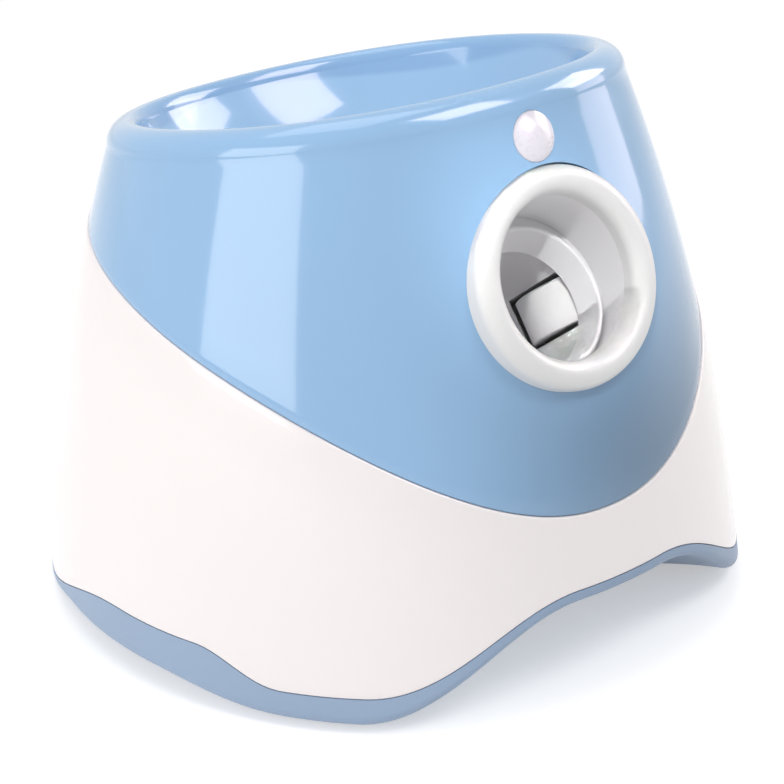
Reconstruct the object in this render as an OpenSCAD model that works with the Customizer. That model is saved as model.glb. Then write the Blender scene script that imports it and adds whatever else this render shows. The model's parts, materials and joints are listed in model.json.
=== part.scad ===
// Automatic dog ball launcher: a hopper in the top drops balls into a launch
// channel, a feed rotor pushes each one between two spinning wheels, and the
// wheels throw it out of the round outlet at the front.
// Frame: +Z up, the outlet faces -Y, origin on the floor under the middle of the
// bounding box.

/* [Body] */
// Length of the body at its foot, front to back
body_len = 330; // [322:1:340]
// How far the middle of the foot outline lies in front of the origin
body_shift = 3.7; // [3:0.1:4.4]
// Width of the body at its foot
body_w = 298; // [290:1:306]
// Height of the rim at the front, its highest point
body_h = 240; // [236:0.5:244]
// Length of the rim, outside, front to back
rim_len = 203; // [198:1:208]
// Width of the rim, outside
rim_w = 210; // [206:1:216]
// Slope of the rim, down towards the back, in degrees
rim_tilt = 9.3; // [8.5:0.1:10]
// Lean of the front wall at the floor, in degrees
front_lean = 10; // [9:0.5:11]
// Lean of the back wall at the floor, in degrees
rear_lean = 15; // [14:0.5:16]
// Lean of the side walls at the floor, in degrees
side_lean = 1.25; // [0.5:0.25:2]
// Squareness of the plan outline at the floor (2 is an ellipse)
foot_square = 2.05; // [2:0.01:2.15]
// Squareness of the plan outline at the rim
rim_square = 2.22; // [2.1:0.01:2.35]
// Wall thickness of the moulded shells
wall = 3; // [2.6:0.1:3.4]
// Radius of the rounded rim on its outer side
lip_r = 10; // [8:0.5:11]
// Radius of the rounded rim on the hopper's side
lip_in_r = 5; // [4:0.5:7]
// Depth of the overlapping tongue where two shells meet
tongue_h = 4; // [3:0.5:6]

/* [Seam lines] */
// Height of the blue cover's lower edge at the front
seam_front_z = 76.5; // [70:0.5:84]
// Height of the blue cover's lower edge at the middle of each side
seam_side_z = 159; // [154:0.5:163]
// Height of the blue cover's lower edge at the back
seam_rear_z = 178; // [172:0.5:182]
// Rise of that edge along the side, in degrees
seam_rise = 14.6; // [13:0.2:16]
// Height of the white shell's lower edge over the front arch
arch_white_z = 48.5; // [44:0.5:54]
// Height of the white shell's lower edge at the front feet
foot_white_z = 16; // [14:0.5:20]
// Height of the white shell's lower edge at the side waves
wave_white_z = 28.5; // [25:0.5:32]
// Height of the white shell's lower edge at the back
rear_white_z = 8.5; // [8:0.5:12]
// Height of the front arch under the base
arch_z = 41; // [36:0.5:43]
// Lift of the base's edge along the sides
side_lift = 5.5; // [3:0.5:7]

/* [Base] */
// Height of the rubber feet
foot_h = 2.5; // [2:0.25:4]
// Radius of the rubber feet
foot_r = 8; // [6:0.5:9]
// Thickness of the base floor
floor_t = 3; // [2.5:0.25:3.5]
// Radius of the base's lower edge
base_edge_r = 6; // [4:0.5:7]

/* [Ball and launch channel] */
// Diameter of the balls
ball_d = 50; // [48:0.5:51]
// Elevation of the launch channel, in degrees
launch_elev = 35; // [34:0.5:36]
// Distance from the outlet ring's plane back to the nozzle's front end
muzzle_set = 15.5; // [15:0.25:16.5]
// How far the launch axis lies below the outlet's centre at the nozzle's front end
muzzle_drop = 15; // [14.5:0.25:15.5]
// Inner radius of the launch channel
channel_r = 28.5; // [28:0.25:29]
// Wall of the launch channel
channel_wall = 2.5; // [2:0.25:3]
// Distance from the muzzle to where the ball waits
rest_s = 98; // [96:0.5:100]
// Length of the nozzle
nozzle_len = 12; // [10:0.5:13]
// Outer radius of the nozzle's front end
nozzle_r = 31.2; // [30.5:0.1:31.5]

/* [Launch wheels] */
// Diameter of the launch wheels
wheel_d = 58; // [56:0.5:59]
// Width of the launch wheels
wheel_w = 20; // [16:0.5:21]
// How far the wheels squeeze the ball
squeeze = 6; // [4:0.5:7]
// Distance from the muzzle back to the wheel axes
wheel_s = 34; // [33.5:0.5:35]
// Thickness of the wheels' soft tread
tread_t = 5; // [3:0.5:7]
// Space above and below the wheels in their slots
slot_gap = 2; // [1.5:0.25:2.5]
// Running clearance round the wheels
wheel_gap = 2; // [1.5:0.25:2.25]
// Thickness of the two decks
deck_t = 3; // [2.5:0.25:3.5]

/* [Motors] */
// Diameter of the wheel motors
motor_d = 28; // [24:0.5:29]
// Length of the wheel motors
motor_len = 34; // [30:0.5:38]
// Diameter of the motor shafts
shaft_d = 3; // [2:0.1:4]
// Running clearance of a shaft in its bearing, on the radius
run_fit = 0.05; // [0.03:0.01:0.08]

/* [Outlet] */
// Height of the outlet ring's centre
outlet_z = 167; // [166:0.5:168]
// Upward tilt of the outlet ring, in degrees
outlet_tilt = 21.5; // [21:0.5:22]
// Outer radius of the outlet ring
outlet_r = 44.7; // [44:0.1:46]
// Radius of the ring's mouth
mouth_r = 32.9; // [32.5:0.1:33.5]
// How far the ring's back reaches into the cover
ring_depth = 12; // [11:0.5:14]

/* [Sensor] */
// How far the motion sensor's centre lies below the top of the rim
sensor_drop = 19; // [18:0.5:21]
// Radius of the sensor's dome
sensor_r = 10; // [8:0.5:10.5]
// Height of the dome
dome_h = 3.4; // [2.5:0.1:4.5]

/* [Hopper] */
// Height of the throat
throat_z = 159.5; // [159:0.5:162]
// Radius of the throat
throat_r = 27.5; // [27:0.25:28]

/* [Feed] */
// Reach of the feed rotor's fingers
finger_reach = 40; // [38:0.5:41]
// Width of a finger
finger_w = 10; // [8:0.5:12]
// Diameter of the feed axle
axle_d = 6; // [5:0.5:7]
// Gear module
gear_module = 1.25; // [1.2:0.05:1.3]
// Teeth on the feed gear
gear_teeth = 36; // [34:1:38]
// Teeth on the pinion
pinion_teeth = 12; // [12:1:14]
// Width of the gear teeth
gear_w = 6; // [5:0.5:8]

/* [Controls] */
// Width of the control panel
panel_w = 70; // [66:1:76]
// Height of the control panel
panel_h = 32; // [30:1:36]
// Height of the panel's centre above the floor
panel_z = 84; // [78:1:92]
// Diameter of the buttons
button_d = 13; // [11:0.5:14]
// Travel of the buttons
button_travel = 1.2; // [0.8:0.1:1.5]
// Diameter of the power socket's opening
jack_bore = 6; // [5.6:0.1:6.4]
// Width and height of the power socket's block
jack_w = 11; // [10:0.5:13]
// Height of the power socket
jack_z = 40; // [36:1:44]

/* [Battery] */
// Length of the battery pack, across the base
pack_w = 78; // [70:1:80]
// Width of the battery pack, front to back
pack_l = 50; // [44:1:52]
// Height of the battery pack
pack_h = 24; // [18:0.5:30]

/* [Hidden] */

sides = 72;                 // facets round the moulded shells
seat = 0.2;                 // gap where one piece slides over another
touch = 0.3;                // gap where one piece only comes close to another
over = 1;                   // how far a cut runs past the face that it opens
limit = 200;                // size of a block that only cuts or limits
fine = 96;                  // facets of the large round forms
$fn = 48;

// ---- body surface -------------------------------------------------------
front_bow = ((body_len - rim_len) / 2 - tan(front_lean) * body_h) / pow(body_h, 2);
rim_rear_z = body_h - tan(rim_tilt) * rim_len;
rear_bow = ((body_len - rim_len) / 2 - tan(rear_lean) * rim_rear_z) / pow(rim_rear_z, 2);
rim_mid_z = (body_h + rim_rear_z) / 2;
side_bow = ((body_w - rim_w) / 2 - tan(side_lean) * rim_mid_z) / pow(rim_mid_z, 2);

function front_y(z) = -body_len / 2 - body_shift + tan(front_lean) * z + front_bow * z * z;
function rear_y(z) = body_len / 2 - body_shift - tan(rear_lean) * z - rear_bow * z * z;
function half_w(z) = body_w / 2 - tan(side_lean) * z - side_bow * z * z;
function square_at(z) = foot_square + (rim_square - foot_square) * z / body_h;
function spow(v, p) = sign(v) * pow(abs(v), p);

// Point of the outline at height z, an angle a round from the front, set in by inset
function wall_pt(a, z, inset = 0) =
    let(p = 2 / square_at(z), mid = (front_y(z) + rear_y(z)) / 2,
        l = (rear_y(z) - front_y(z)) / 2 - inset, w = half_w(z) - inset)
    [w * spow(sin(a), p), mid - l * spow(cos(a), p), z];

// Height of the rim plane over the outline, and of the seam, found by repetition
function rim_z(a, z = 224, n = 6) =
    n == 0 ? z : rim_z(a, rim_mid_z - tan(rim_tilt) * (wall_pt(a, z)[1] + body_shift), n - 1);
seam_front_y = front_y(seam_front_z);
seam_rear_y = rear_y(seam_rear_z);
seam_dip = seam_side_z + tan(seam_rise) * seam_front_y - seam_front_z;
seam_drop = seam_side_z + tan(seam_rise) * seam_rear_y - seam_rear_z;
function seam_at(y) = seam_side_z + tan(seam_rise) * y
    - (y < 0 ? seam_dip * pow(y / seam_front_y, 3) : seam_drop * pow(y / seam_rear_y, 2));
function seam_z(a, z = 120, n = 8) = n == 0 ? z : seam_z(a, seam_at(wall_pt(a, z)[1]), n - 1);

// Waves of the two lower edges, as raised-cosine bumps over the angle from the front.
// Each one is given by the angle where it is full and the angle over which it fades.
arch_full = 8;
arch_fade = 36;
arch_fade_base = 38;
wave_mid = 80;
wave_full = 8;
wave_fade_front = 15;
wave_fade_back = 34;
lift_mid = 92;
lift_full = 10;
lift_fade = 24;
function fold(a) = let(b = (a % 360 + 360) % 360) b > 180 ? 360 - b : b;
function bump(u) = u <= 0 ? 1 : u >= 1 ? 0 : (1 + cos(180 * u)) / 2;
function white_z(a) = let(b = fold(a)) b < wave_mid
    ? foot_white_z + (arch_white_z - foot_white_z) * bump((b - arch_full) / arch_fade)
        + (wave_white_z - foot_white_z) * bump((wave_mid - wave_full - b) / wave_fade_front)
    : rear_white_z + (wave_white_z - rear_white_z) * bump((b - wave_mid - wave_full) / wave_fade_back);
function base_z(a) = let(b = fold(a))
    foot_h + arch_z * bump((b - arch_full) / arch_fade_base)
        + side_lift * bump((abs(b - lift_mid) - lift_full) / lift_fade);

// ---- lofts --------------------------------------------------------------
function ring_of(f) = [for (i = [0 : sides - 1]) f(360 * i / sides)];
function mix(a, b, t) = a + (b - a) * t;
function ease(t) = t <= 0 ? 0 : t >= 1 ? 1 : t * t * (3 - 2 * t);

// A closed band of rings: each ring joins the next, and the last joins the first
module band(rings) {
    n = len(rings[0]);
    m = len(rings);
    polyhedron(points = [for (r = rings) each r],
        faces = [for (i = [0 : m - 1], j = [0 : n - 1])
            let(a = i * n + j, b = i * n + (j + 1) % n,
                c = ((i + 1) % m) * n + (j + 1) % n, d = ((i + 1) % m) * n + j)
            each [[a, d, c], [a, c, b]]]);
}

// A closed body of rings between a first and a last middle point
module capped(rings, first, last) {
    n = len(rings[0]);
    m = len(rings);
    polyhedron(points = [for (r = rings) each r, first, last],
        faces = [
            for (j = [0 : n - 1]) [m * n, j, (j + 1) % n],
            for (i = [0 : m - 2], j = [0 : n - 1])
                let(a = i * n + j, b = i * n + (j + 1) % n,
                    c = (i + 1) * n + (j + 1) % n, d = (i + 1) * n + j)
                each [[a, d, c], [a, c, b]],
            for (j = [0 : n - 1])
                [m * n + 1, (m - 1) * n + (j + 1) % n, (m - 1) * n + j]]);
}

// The space inside the body, set in by inset, between two heights
module body_space(inset, low, high) {
    steps = 5;
    capped([for (k = [0 : steps]) ring_of(function(a) wall_pt(a, mix(low, high, k / steps), inset))],
        [0, 0, low], [0, 0, high]);
}

ring_sink = 1.3;            // how far the outlet ring's plane lies behind the front wall
outlet_y = front_y(outlet_z) + ring_sink;
muzzle_y = -outlet_y - muzzle_set;
muzzle_z = outlet_z - muzzle_drop;

// ---- launch frame: local z runs out along the launch axis, local y up across it ----
module launch_frame() {
    translate([0, -muzzle_y, muzzle_z]) rotate([90 - launch_elev, 0, 0]) children();
}
function launch_pt(x, v, s) = [x,
    -muzzle_y + s * cos(launch_elev) + v * sin(launch_elev),
    muzzle_z - s * sin(launch_elev) + v * cos(launch_elev)];
// A circle across the launch axis: distance back s, centre raised by v
loft_sides = 40;
function launch_ring(s, v, r) = [for (i = [0 : loft_sides - 1]) let(q = 360 * i / loft_sides)
    launch_pt(r * sin(q), v - r * cos(q), s)];

// ---- outlet frame: local z points out of the mouth -----------------------
module outlet_frame() {
    translate([0, outlet_y, outlet_z]) rotate([90 - outlet_tilt, 0, 0]) children();
}
function outlet_circle(depth, r) = [for (i = [0 : loft_sides - 1])
    let(q = 360 * i / loft_sides, x = r * sin(q), v = -r * cos(q))
    [x, outlet_y + depth * cos(outlet_tilt) + v * sin(outlet_tilt),
        outlet_z - depth * sin(outlet_tilt) + v * cos(outlet_tilt)]];

// ---- sensor frame: local z points out of the front wall --------------------
sensor_z = body_h - sensor_drop;
sensor_lean = atan(tan(front_lean) + 2 * front_bow * sensor_z);
module sensor_frame() {
    translate([0, front_y(sensor_z), sensor_z]) rotate([90 - sensor_lean, 0, 0]) children();
}

// ---- places that several pieces share -----------------------------------------
channel_out = channel_r + channel_wall;
wheel_x = (ball_d - squeeze + wheel_d) / 2;
slot_r = wheel_d / 2 + wheel_gap;
slot_h = wheel_w / 2 + slot_gap;
deck_v = slot_h + deck_t;
rest_room = 0.5;            // room behind the waiting ball
end_s = rest_s + ball_d / 2 + rest_room;
rest_y = -muzzle_y + rest_s * cos(launch_elev);
floor_top = foot_h + floor_t;
rotor_s = 88;               // feed rotor: distance back from the muzzle
rotor_v = -52;              // feed rotor: height across the launch axis
rotor_at = launch_pt(0, rotor_v, rotor_s);
gear_dist = gear_module * (gear_teeth + pinion_teeth) / 2;
pinion_dir = -18;           // direction from the feed gear to the pinion, from level
pinion_at = [rotor_at[1] + gear_dist * cos(pinion_dir), rotor_at[2] + gear_dist * sin(pinion_dir)];
pinion_bore_r = 1.5;
stand_x = channel_out + 1;
stand_t = 3;

// A plate from one height to another
module slab(low, high) {
    translate([0, 0, low]) linear_extrude(high - low) children();
}

// ---- screws: a radius each, a head, and the fit of their holes -----------------
thread_fit = 0.05;          // added to the screw's radius in the piece that it bites
screw_hole = 0.3;           // added to the screw's radius in the piece that it holds
case_screw_r = 1.4;
case_screw_len = 16;
motor_screw_r = 1.3;
motor_screw_at = 8;         // distance from the motor's axis
board_screw_r = 1;
board_screw_len = 6.5;
door_screw_r = 1.2;
door_screw_len = 8;

// ---- shells -------------------------------------------------------------
cover_inset = 0.6;          // how far the cover lies inside the white shell's outline
seam_gap = 0.3;             // the fine line between cover and shell
tongue_t = 1.8;             // thickness of the tongue
tongue_root = 3;            // height over which the tongue runs out on the shell's inner side
tongue_in = wall + seat;
tongue_out = tongue_in + tongue_t;

// Point of the rim: q degrees round from the outer wall, on a smaller radius towards the hopper
lip_end = 150;
lip_under_end = 180 - asin(lip_r * sin(lip_end) / (lip_r - wall));
function lip_pt(a, q, t) = let(r = q < 90 ? lip_r : lip_in_r, z = rim_z(a) - lip_r,
        p = wall_pt(a, z, cover_inset + lip_r - (r - t) * cos(q)))
    [p[0], p[1], z + (lip_r - t) * sin(q)];

module upper_cover() color("#93bce4") {
    lip_z = function(a) rim_z(a) - lip_r;
    out_rows = 7;
    in_rows = 4;
    sensor_cut = 24;        // length of the cut for the lens, short of the dish
    difference() {
        band([
            for (k = [0 : out_rows]) ring_of(function(a)
                wall_pt(a, mix(seam_z(a) + seam_gap, lip_z(a), k / out_rows), cover_inset)),
            for (q = [30 : 30 : lip_end]) ring_of(function(a) lip_pt(a, q, 0)),
            for (q = [lip_under_end, 90, 45, 0]) ring_of(function(a) lip_pt(a, q, wall)),
            for (k = [in_rows - 1 : -1 : 0]) ring_of(function(a)
                wall_pt(a, mix(seam_z(a) + seam_gap, lip_z(a), k / in_rows), wall))
        ]);
        outlet_frame() cylinder(r = outlet_r + seat, h = limit, center = true);
        sensor_frame() cylinder(r = sensor_r + seat, h = sensor_cut, center = true);
    }
}

// Dish of the hopper: a steep wall that turns into a floor that falls gently to the throat.
// The turn is softer at the front, where the launcher lies behind the dish.
dish_t = 2.2;
dish_wall = 0.75;           // share of the fall that the steep wall takes
soft_turn = 2;
sharp_turn = 5;
turn_side = 75;             // plan angle from the front at which the turn is sharp
function turn_at(a) = mix(soft_turn, sharp_turn, ease(fold(a) / turn_side));
function dish_pt(a, t, out) =
    let(lip_z = rim_z(a) - lip_r, top_z = lip_z + lip_r * sin(lip_end) - touch,
        top = wall_pt(a, lip_z, cover_inset + lip_r - lip_in_r * cos(lip_end) - out),
        low = [(throat_r + out) * sin(a), rest_y - (throat_r + out) * cos(a)],
        fall = dish_wall * (1 - pow(1 - t, turn_at(a))) + (1 - dish_wall) * t)
    [mix(top[0], low[0], t), mix(top[1], low[1], t),
        mix(top_z, throat_z, fall) - (t > 0 ? out : 0)];

module hopper_funnel() color("#93bce4") {
    rows = 8;
    crowd = 1.4;            // draws the rows together near the rim
    band([
        for (k = [0 : rows]) ring_of(function(a) dish_pt(a, pow(1 - k / rows, crowd), dish_t)),
        for (k = [0 : rows]) ring_of(function(a) dish_pt(a, pow(k / rows, crowd), 0))
    ]);
}

// Underside of the base: the front arch fades out towards the middle of the plan
arch_in = 0.5;              // share of the plan's radius at which the arch begins
arch_grow = 0.45;           // share over which it grows to its full height
function edge_r_at(a) = min(base_edge_r, 0.6 * (white_z(a) - base_z(a)));
function under_pt(a, f, up) =
    let(p = wall_pt(a, base_z(a), edge_r_at(a)), q = [p[0] * f, p[1] * f])
    [q[0], q[1], foot_h + (base_z(a) - foot_h) * ease((f - arch_in) / arch_grow) + up];
// Height of the base's underside over a point of the plan
function under_z(x, y) = let(a = atan2(abs(x), -y), w = wall_pt(a, base_z(a), edge_r_at(a)))
    under_pt(a, norm([x, y]) / norm([w[0], w[1]]), 0)[2];

// Bosses of the lower shell that the case screws bite, each with a rib to the wall
case_screw_at = [for (a = [64, 116, 244, 296])
    let(p = wall_pt(a, 20, 16)) [p[0], p[1], under_z(p[0], p[1])]];
boss_r = 4.5;
boss_rib_t = 2;
boss_rib_len = 30;
boss_low = 4;
boss_top = 110;
boss_len = 90;
boss_up = floor_t + 2.3;
rib_low = wave_white_z + tongue_h + 2;
pilot_past = 3;             // how far a pilot hole runs past its screw
cut_half = 20;              // half length of the cuts for panel and socket

module lower_shell() color("#f7f2f1") {
    rows = 6;
    difference() {
        union() {
            band([
                for (k = [0 : rows]) ring_of(function(a)
                    wall_pt(a, mix(white_z(a), seam_z(a), k / rows))),
                ring_of(function(a) wall_pt(a, seam_z(a), tongue_in)),
                ring_of(function(a) wall_pt(a, seam_z(a) + tongue_h, tongue_in)),
                ring_of(function(a) wall_pt(a, seam_z(a) + tongue_h, tongue_out)),
                ring_of(function(a) wall_pt(a, seam_z(a) - tongue_root, tongue_out)),
                for (k = [rows - 1 : -1 : 0]) ring_of(function(a)
                    wall_pt(a, mix(white_z(a), seam_z(a) - 2 * tongue_root, k / (rows - 1)), wall))
            ]);
            intersection() {
                for (p = case_screw_at) translate([p[0], p[1], p[2] + boss_up]) {
                    cylinder(r = boss_r, h = boss_len);
                    rotate(atan2(p[1], p[0]))
                        translate([0, -boss_rib_t / 2, rib_low - p[2] - boss_up])
                        cube([boss_rib_len, boss_rib_t, boss_len]);
                }
                body_space(wall - over, boss_low, boss_top);
            }
        }
        for (p = case_screw_at) translate([p[0], p[1], 0])
            cylinder(r = case_screw_r + thread_fit, h = p[2] + case_screw_len + pilot_past);
        panel_frame() panel_slab(panel_w + 2 * seat, panel_h + 2 * seat, -cut_half, cut_half, panel_corner);
        jack_frame() linear_extrude(2 * cut_half, center = true)
            square(jack_w + 2 * seat, center = true);
    }
}

floor_round = [1.5, 2];     // how far the floor rounds up into the wall, across and up
board_post_r = 3;
well_wall = 2;
well_h = 14;
door_boss_r = 3.5;
door_boss_h = 8;
module base_tray() color("#9db2d2") {
    steps = [0.25, 0.5, 0.6, 0.7, 0.8, 0.9];
    rib_base = foot_h + over;
    difference() {
        union() {
            capped([
                for (f = steps) ring_of(function(a) under_pt(a, f, 0)),
                for (q = [0 : 30 : 90]) ring_of(function(a)
                    wall_pt(a, base_z(a) + edge_r_at(a) * (1 - cos(q)), edge_r_at(a) * (1 - sin(q)))),
                ring_of(function(a) wall_pt(a, white_z(a))),
                ring_of(function(a) wall_pt(a, white_z(a), tongue_in)),
                ring_of(function(a) wall_pt(a, white_z(a) + tongue_h, tongue_in)),
                ring_of(function(a) wall_pt(a, white_z(a) + tongue_h, tongue_out)),
                ring_of(function(a) wall_pt(a, white_z(a), tongue_out)),
                ring_of(function(a)
                    wall_pt(a, base_z(a) + floor_t + floor_round[1], tongue_out + floor_round[0])),
                for (k = [len(steps) - 1 : -1 : 0]) ring_of(function(a)
                    under_pt(a, steps[k], floor_t))
            ], [0, 0, foot_h], [0, 0, floor_top]);
            for (p = board_at) let(low = under_z(p[0], p[1]) + over)
                translate([p[0], p[1], low]) cylinder(r = board_post_r, h = board_z - low);
            difference() {
                translate([-well_w / 2 - well_wall, well_y - well_wall, rib_base])
                    cube([well_w + 2 * well_wall, well_l + 2 * well_wall, well_h]);
                translate([-well_w / 2, well_y, 0]) cube([well_w, well_l, limit]);
            }
            for (s = [-1, 1]) translate([s * door_screw_x, well_y + well_l / 2, rib_base])
                cylinder(r = door_boss_r, h = door_boss_h);
        }
        translate([-well_w / 2, well_y, 0]) cube([well_w, well_l, 2 * floor_top + over]);
        for (p = case_screw_at) translate([p[0], p[1], 0])
            cylinder(r = case_screw_r + screw_hole, h = 2 * case_screw_len);
        for (p = board_at) translate([p[0], p[1], board_z - board_screw_len + 0.5])
            cylinder(r = board_screw_r + thread_fit, h = 10);
        for (s = [-1, 1]) translate([s * door_screw_x, well_y + well_l / 2, 0])
            cylinder(r = door_screw_r + thread_fit, h = rib_base + door_boss_h - 2);
    }
}

foot_angle = [51, 129, 231, 309];
foot_share = 0.85;          // where a foot stands along the plan's radius
foot_bevel = 1;
module rubber_feet() color("#4a4d52")
    for (a = foot_angle) let(p = under_pt(a, foot_share, 0)) translate([p[0], p[1], 0])
        rotate_extrude() polygon([[0, 0], [foot_r - foot_bevel, 0], [foot_r, foot_bevel],
            [foot_r, foot_h], [0, foot_h]]);

case_head_r = 3;
case_head_h = 1.6;
head_gap = 0.15;            // gap between a screw's head and the face that it holds
module case_screws() color("#8d9196")
    for (p = case_screw_at) translate([p[0], p[1], p[2] - head_gap]) {
        translate([0, 0, -case_head_h]) cylinder(r = case_head_r, h = case_head_h);
        cylinder(r = case_screw_r, h = case_screw_len);
    }

// ---- outlet -------------------------------------------------------------
ring_face_r = (outlet_r + mouth_r) / 2;
ring_round = (outlet_r - mouth_r) / 2;
ring_wall = 2.4;
ring_lip_back = 4;          // how far the mouth's edge reaches back
ring_drop = 0.4;            // how far the round face lies back from the ring's plane
module outlet_ring() color("#f1f2f1") outlet_frame() rotate_extrude($fn = fine) polygon([
    [outlet_r, -ring_depth],
    for (q = [0 : 12 : 180]) [ring_face_r + ring_round * cos(q), ring_round * sin(q) - ring_drop],
    [mouth_r, -ring_lip_back],
    [mouth_r + ring_wall, -ring_lip_back],
    [outlet_r - ring_wall, 2 - ring_depth],
    [outlet_r - ring_wall, -ring_depth]]);

sleeve_s = 4;               // distance of the sleeve's back end behind the muzzle
sleeve_r = 34.5;
sleeve_v = 3.5;             // how far that end's centre lies above the launch axis
sleeve_wall = 1.8;
module outlet_sleeve() color("#e4e3e3") {
    steps = 4;
    front = outlet_circle(ring_lip_back + touch, mouth_r + seat);
    front_out = outlet_circle(ring_lip_back + touch, mouth_r + seat + sleeve_wall);
    back = launch_ring(sleeve_s, sleeve_v, sleeve_r);
    back_out = launch_ring(sleeve_s, sleeve_v, sleeve_r + sleeve_wall);
    band([
        for (k = [0 : steps]) mix(back_out, front_out, k / steps),
        for (k = [0 : steps]) mix(front, back, k / steps)
    ]);
}

nozzle_v = 2;               // how far the nozzle's front end is raised
nozzle_throat = ball_d / 2 + 1;
nozzle_wall = 2.3;
nozzle_flange_t = 2;
module nozzle() color("#ededee") {
    steps = 3;
    band([
        for (k = [0 : steps]) launch_ring(mix(nozzle_len, 0, k / steps),
            mix(0, nozzle_v, k / steps), mix(channel_out, nozzle_r, k / steps)),
        for (k = [0 : steps]) launch_ring(mix(0, nozzle_len, k / steps),
            mix(nozzle_v, 0, k / steps), mix(nozzle_r - nozzle_wall, nozzle_throat, k / steps))
    ]);
    launch_frame() translate([0, 0, -sleeve_s - touch - nozzle_flange_t]) difference() {
        translate([0, sleeve_v, 0])
            cylinder(r = sleeve_r + sleeve_wall, h = nozzle_flange_t, $fn = fine);
        translate([0, mix(nozzle_v, 0, 0.4), -over])
            cylinder(r = channel_out - 1, h = nozzle_flange_t + 2 * over, $fn = fine);
    }
}

// ---- sensor -------------------------------------------------------------
lens_back = -9;             // back end of the lens's skirt
lens_wall = 1.8;
lens_flange = [1.2, 1.5];   // the flange behind the cover, out and thick
chip_r = 4.2;
chip_h = 4;
board_t = 1.6;
module sensor_lens() color("#ece9f0") sensor_frame() {
    ball_r = (sensor_r * sensor_r + dome_h * dome_h) / (2 * dome_h);
    back = -wall - lens_flange[0];
    rotate_extrude($fn = 64) polygon([
        for (q = [0 : 0.1 : 1.001]) let(r = sensor_r * q)
            [r, sqrt(ball_r * ball_r - r * r) - ball_r + dome_h - cover_inset],
        [sensor_r, back], [sensor_r + lens_flange[0], back],
        [sensor_r + lens_flange[0], back - lens_flange[1]], [sensor_r, back - lens_flange[1]],
        [sensor_r, lens_back], [sensor_r - lens_wall, lens_back],
        [sensor_r - lens_wall, -1.5], [0, 1]]);
}
module sensor_board() color("#2f6b4f") sensor_frame() translate([0, 0, lens_back - 0.1]) {
    translate([0, 0, -board_t]) cylinder(r = sensor_r, h = board_t);
    color("#c8c8c4") cylinder(r = chip_r, h = chip_h);
}

// ---- launcher housing, split along the launch axis --------------------------
post_r = 4;
post_lap = 1;               // how far a post sinks into its deck
deck_half = 48;             // half width of the deck behind the wheels
deck_len = 40;
deck_from = 2;              // where that deck ends in front of the wheel axes
deck_rim = 1;
arm = [34, 10];             // the arm from the wheel's axis out to its post
nozzle_notch = 41;          // half width of the notch that clears the nozzle's flange
shell_gap = 0.1;            // gap between the channel's end and the nozzle
half_gap = 0.05;            // gap between the posts of the two halves
post_at = [[wheel_x + slot_r + post_r + touch, wheel_s],
    [deck_half - post_r, wheel_s + deck_len]];
module deck_shape() {
    difference() {
        union() {
            for (m = [-1, 1]) {
                translate([m * wheel_x, -wheel_s]) circle(r = slot_r + deck_rim);
                for (p = post_at) translate([m * p[0], -p[1]]) circle(r = post_r);
                translate([m * (wheel_x + arm[0] / 2) - arm[0] / 2, -wheel_s - arm[1] / 2]) square(arm);
            }
            translate([-deck_half, -wheel_s - deck_len - deck_from]) square([2 * deck_half, deck_len]);
        }
        translate([-nozzle_notch, -nozzle_len - touch]) square([2 * nozzle_notch, limit]);
    }
}
module wheel_slots() {
    for (m = [-1, 1]) translate([m * wheel_x, 0, -wheel_s]) rotate([90, 0, 0])
        cylinder(r = slot_r, h = 2 * slot_h, center = true, $fn = fine);
}
module channel_walls() {
    translate([0, 0, -end_s - channel_wall])
        cylinder(r = channel_out, h = end_s + channel_wall - nozzle_len - shell_gap, $fn = fine);
}
module channel_hollow() {
    translate([0, 0, -end_s]) cylinder(r = channel_r, h = end_s, $fn = fine);
    wheel_slots();
}
module posts(low, high) {
    for (m = [-1, 1], p = post_at) translate([m * p[0], 0, -p[1]]) rotate([-90, 0, 0])
        translate([0, 0, low]) cylinder(r = post_r, h = high - low);
}

module launcher_upper() color("#dfe1e4") {
    chimney_top = throat_z - dish_t - touch;
    chimney_low = 60;
    difference() {
        union() {
            launch_frame() {
                intersection() {
                    channel_walls();
                    translate([-limit / 2, 0, -limit]) cube(limit);
                }
                translate([0, deck_v, 0]) rotate([90, 0, 0]) linear_extrude(deck_t)
                    deck_shape();
                posts(0, slot_h + post_lap);
            }
            intersection() {
                translate([0, rest_y, chimney_low])
                    cylinder(r = channel_out, h = chimney_top - chimney_low, $fn = fine);
                launch_frame() translate([-limit, 0, -limit]) cube(2 * limit);
            }
        }
        launch_frame() channel_hollow();
        translate([0, rest_y, chimney_low - 20]) cylinder(r = channel_r, h = limit, $fn = fine);
    }
}

finger_room = 1.5;          // room round the fingers in their slot
shaft_hole_r = 5.2;
deck_hole_fit = 0.1;
finger_slot = sqrt(pow(finger_reach, 2) - pow(-rotor_v - channel_out, 2)) + finger_room;
module launcher_lower() color("#dfe1e4") launch_frame() difference() {
    slot_w = finger_w + 2 * finger_room;
    union() {
        intersection() {
            channel_walls();
            translate([-limit / 2, -limit, -limit]) cube(limit);
        }
        translate([0, -slot_h, 0]) rotate([90, 0, 0]) linear_extrude(deck_t)
            deck_shape();
        posts(-slot_h - post_lap, -half_gap);
    }
    channel_hollow();
    translate([-slot_w / 2, -channel_out - 2, -rotor_s - finger_slot])
        cube([slot_w, 24, 2 * finger_slot]);
    for (m = [-1, 1]) translate([m * wheel_x, -deck_v - over, -wheel_s]) rotate([-90, 0, 0]) {
        cylinder(r = shaft_hole_r, h = deck_t + 3 * over);
        for (k = [-1, 1]) translate([0, k * motor_screw_at, 0])
            cylinder(r = motor_screw_r + deck_hole_fit, h = deck_t + 3 * over);
    }
}

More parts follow.
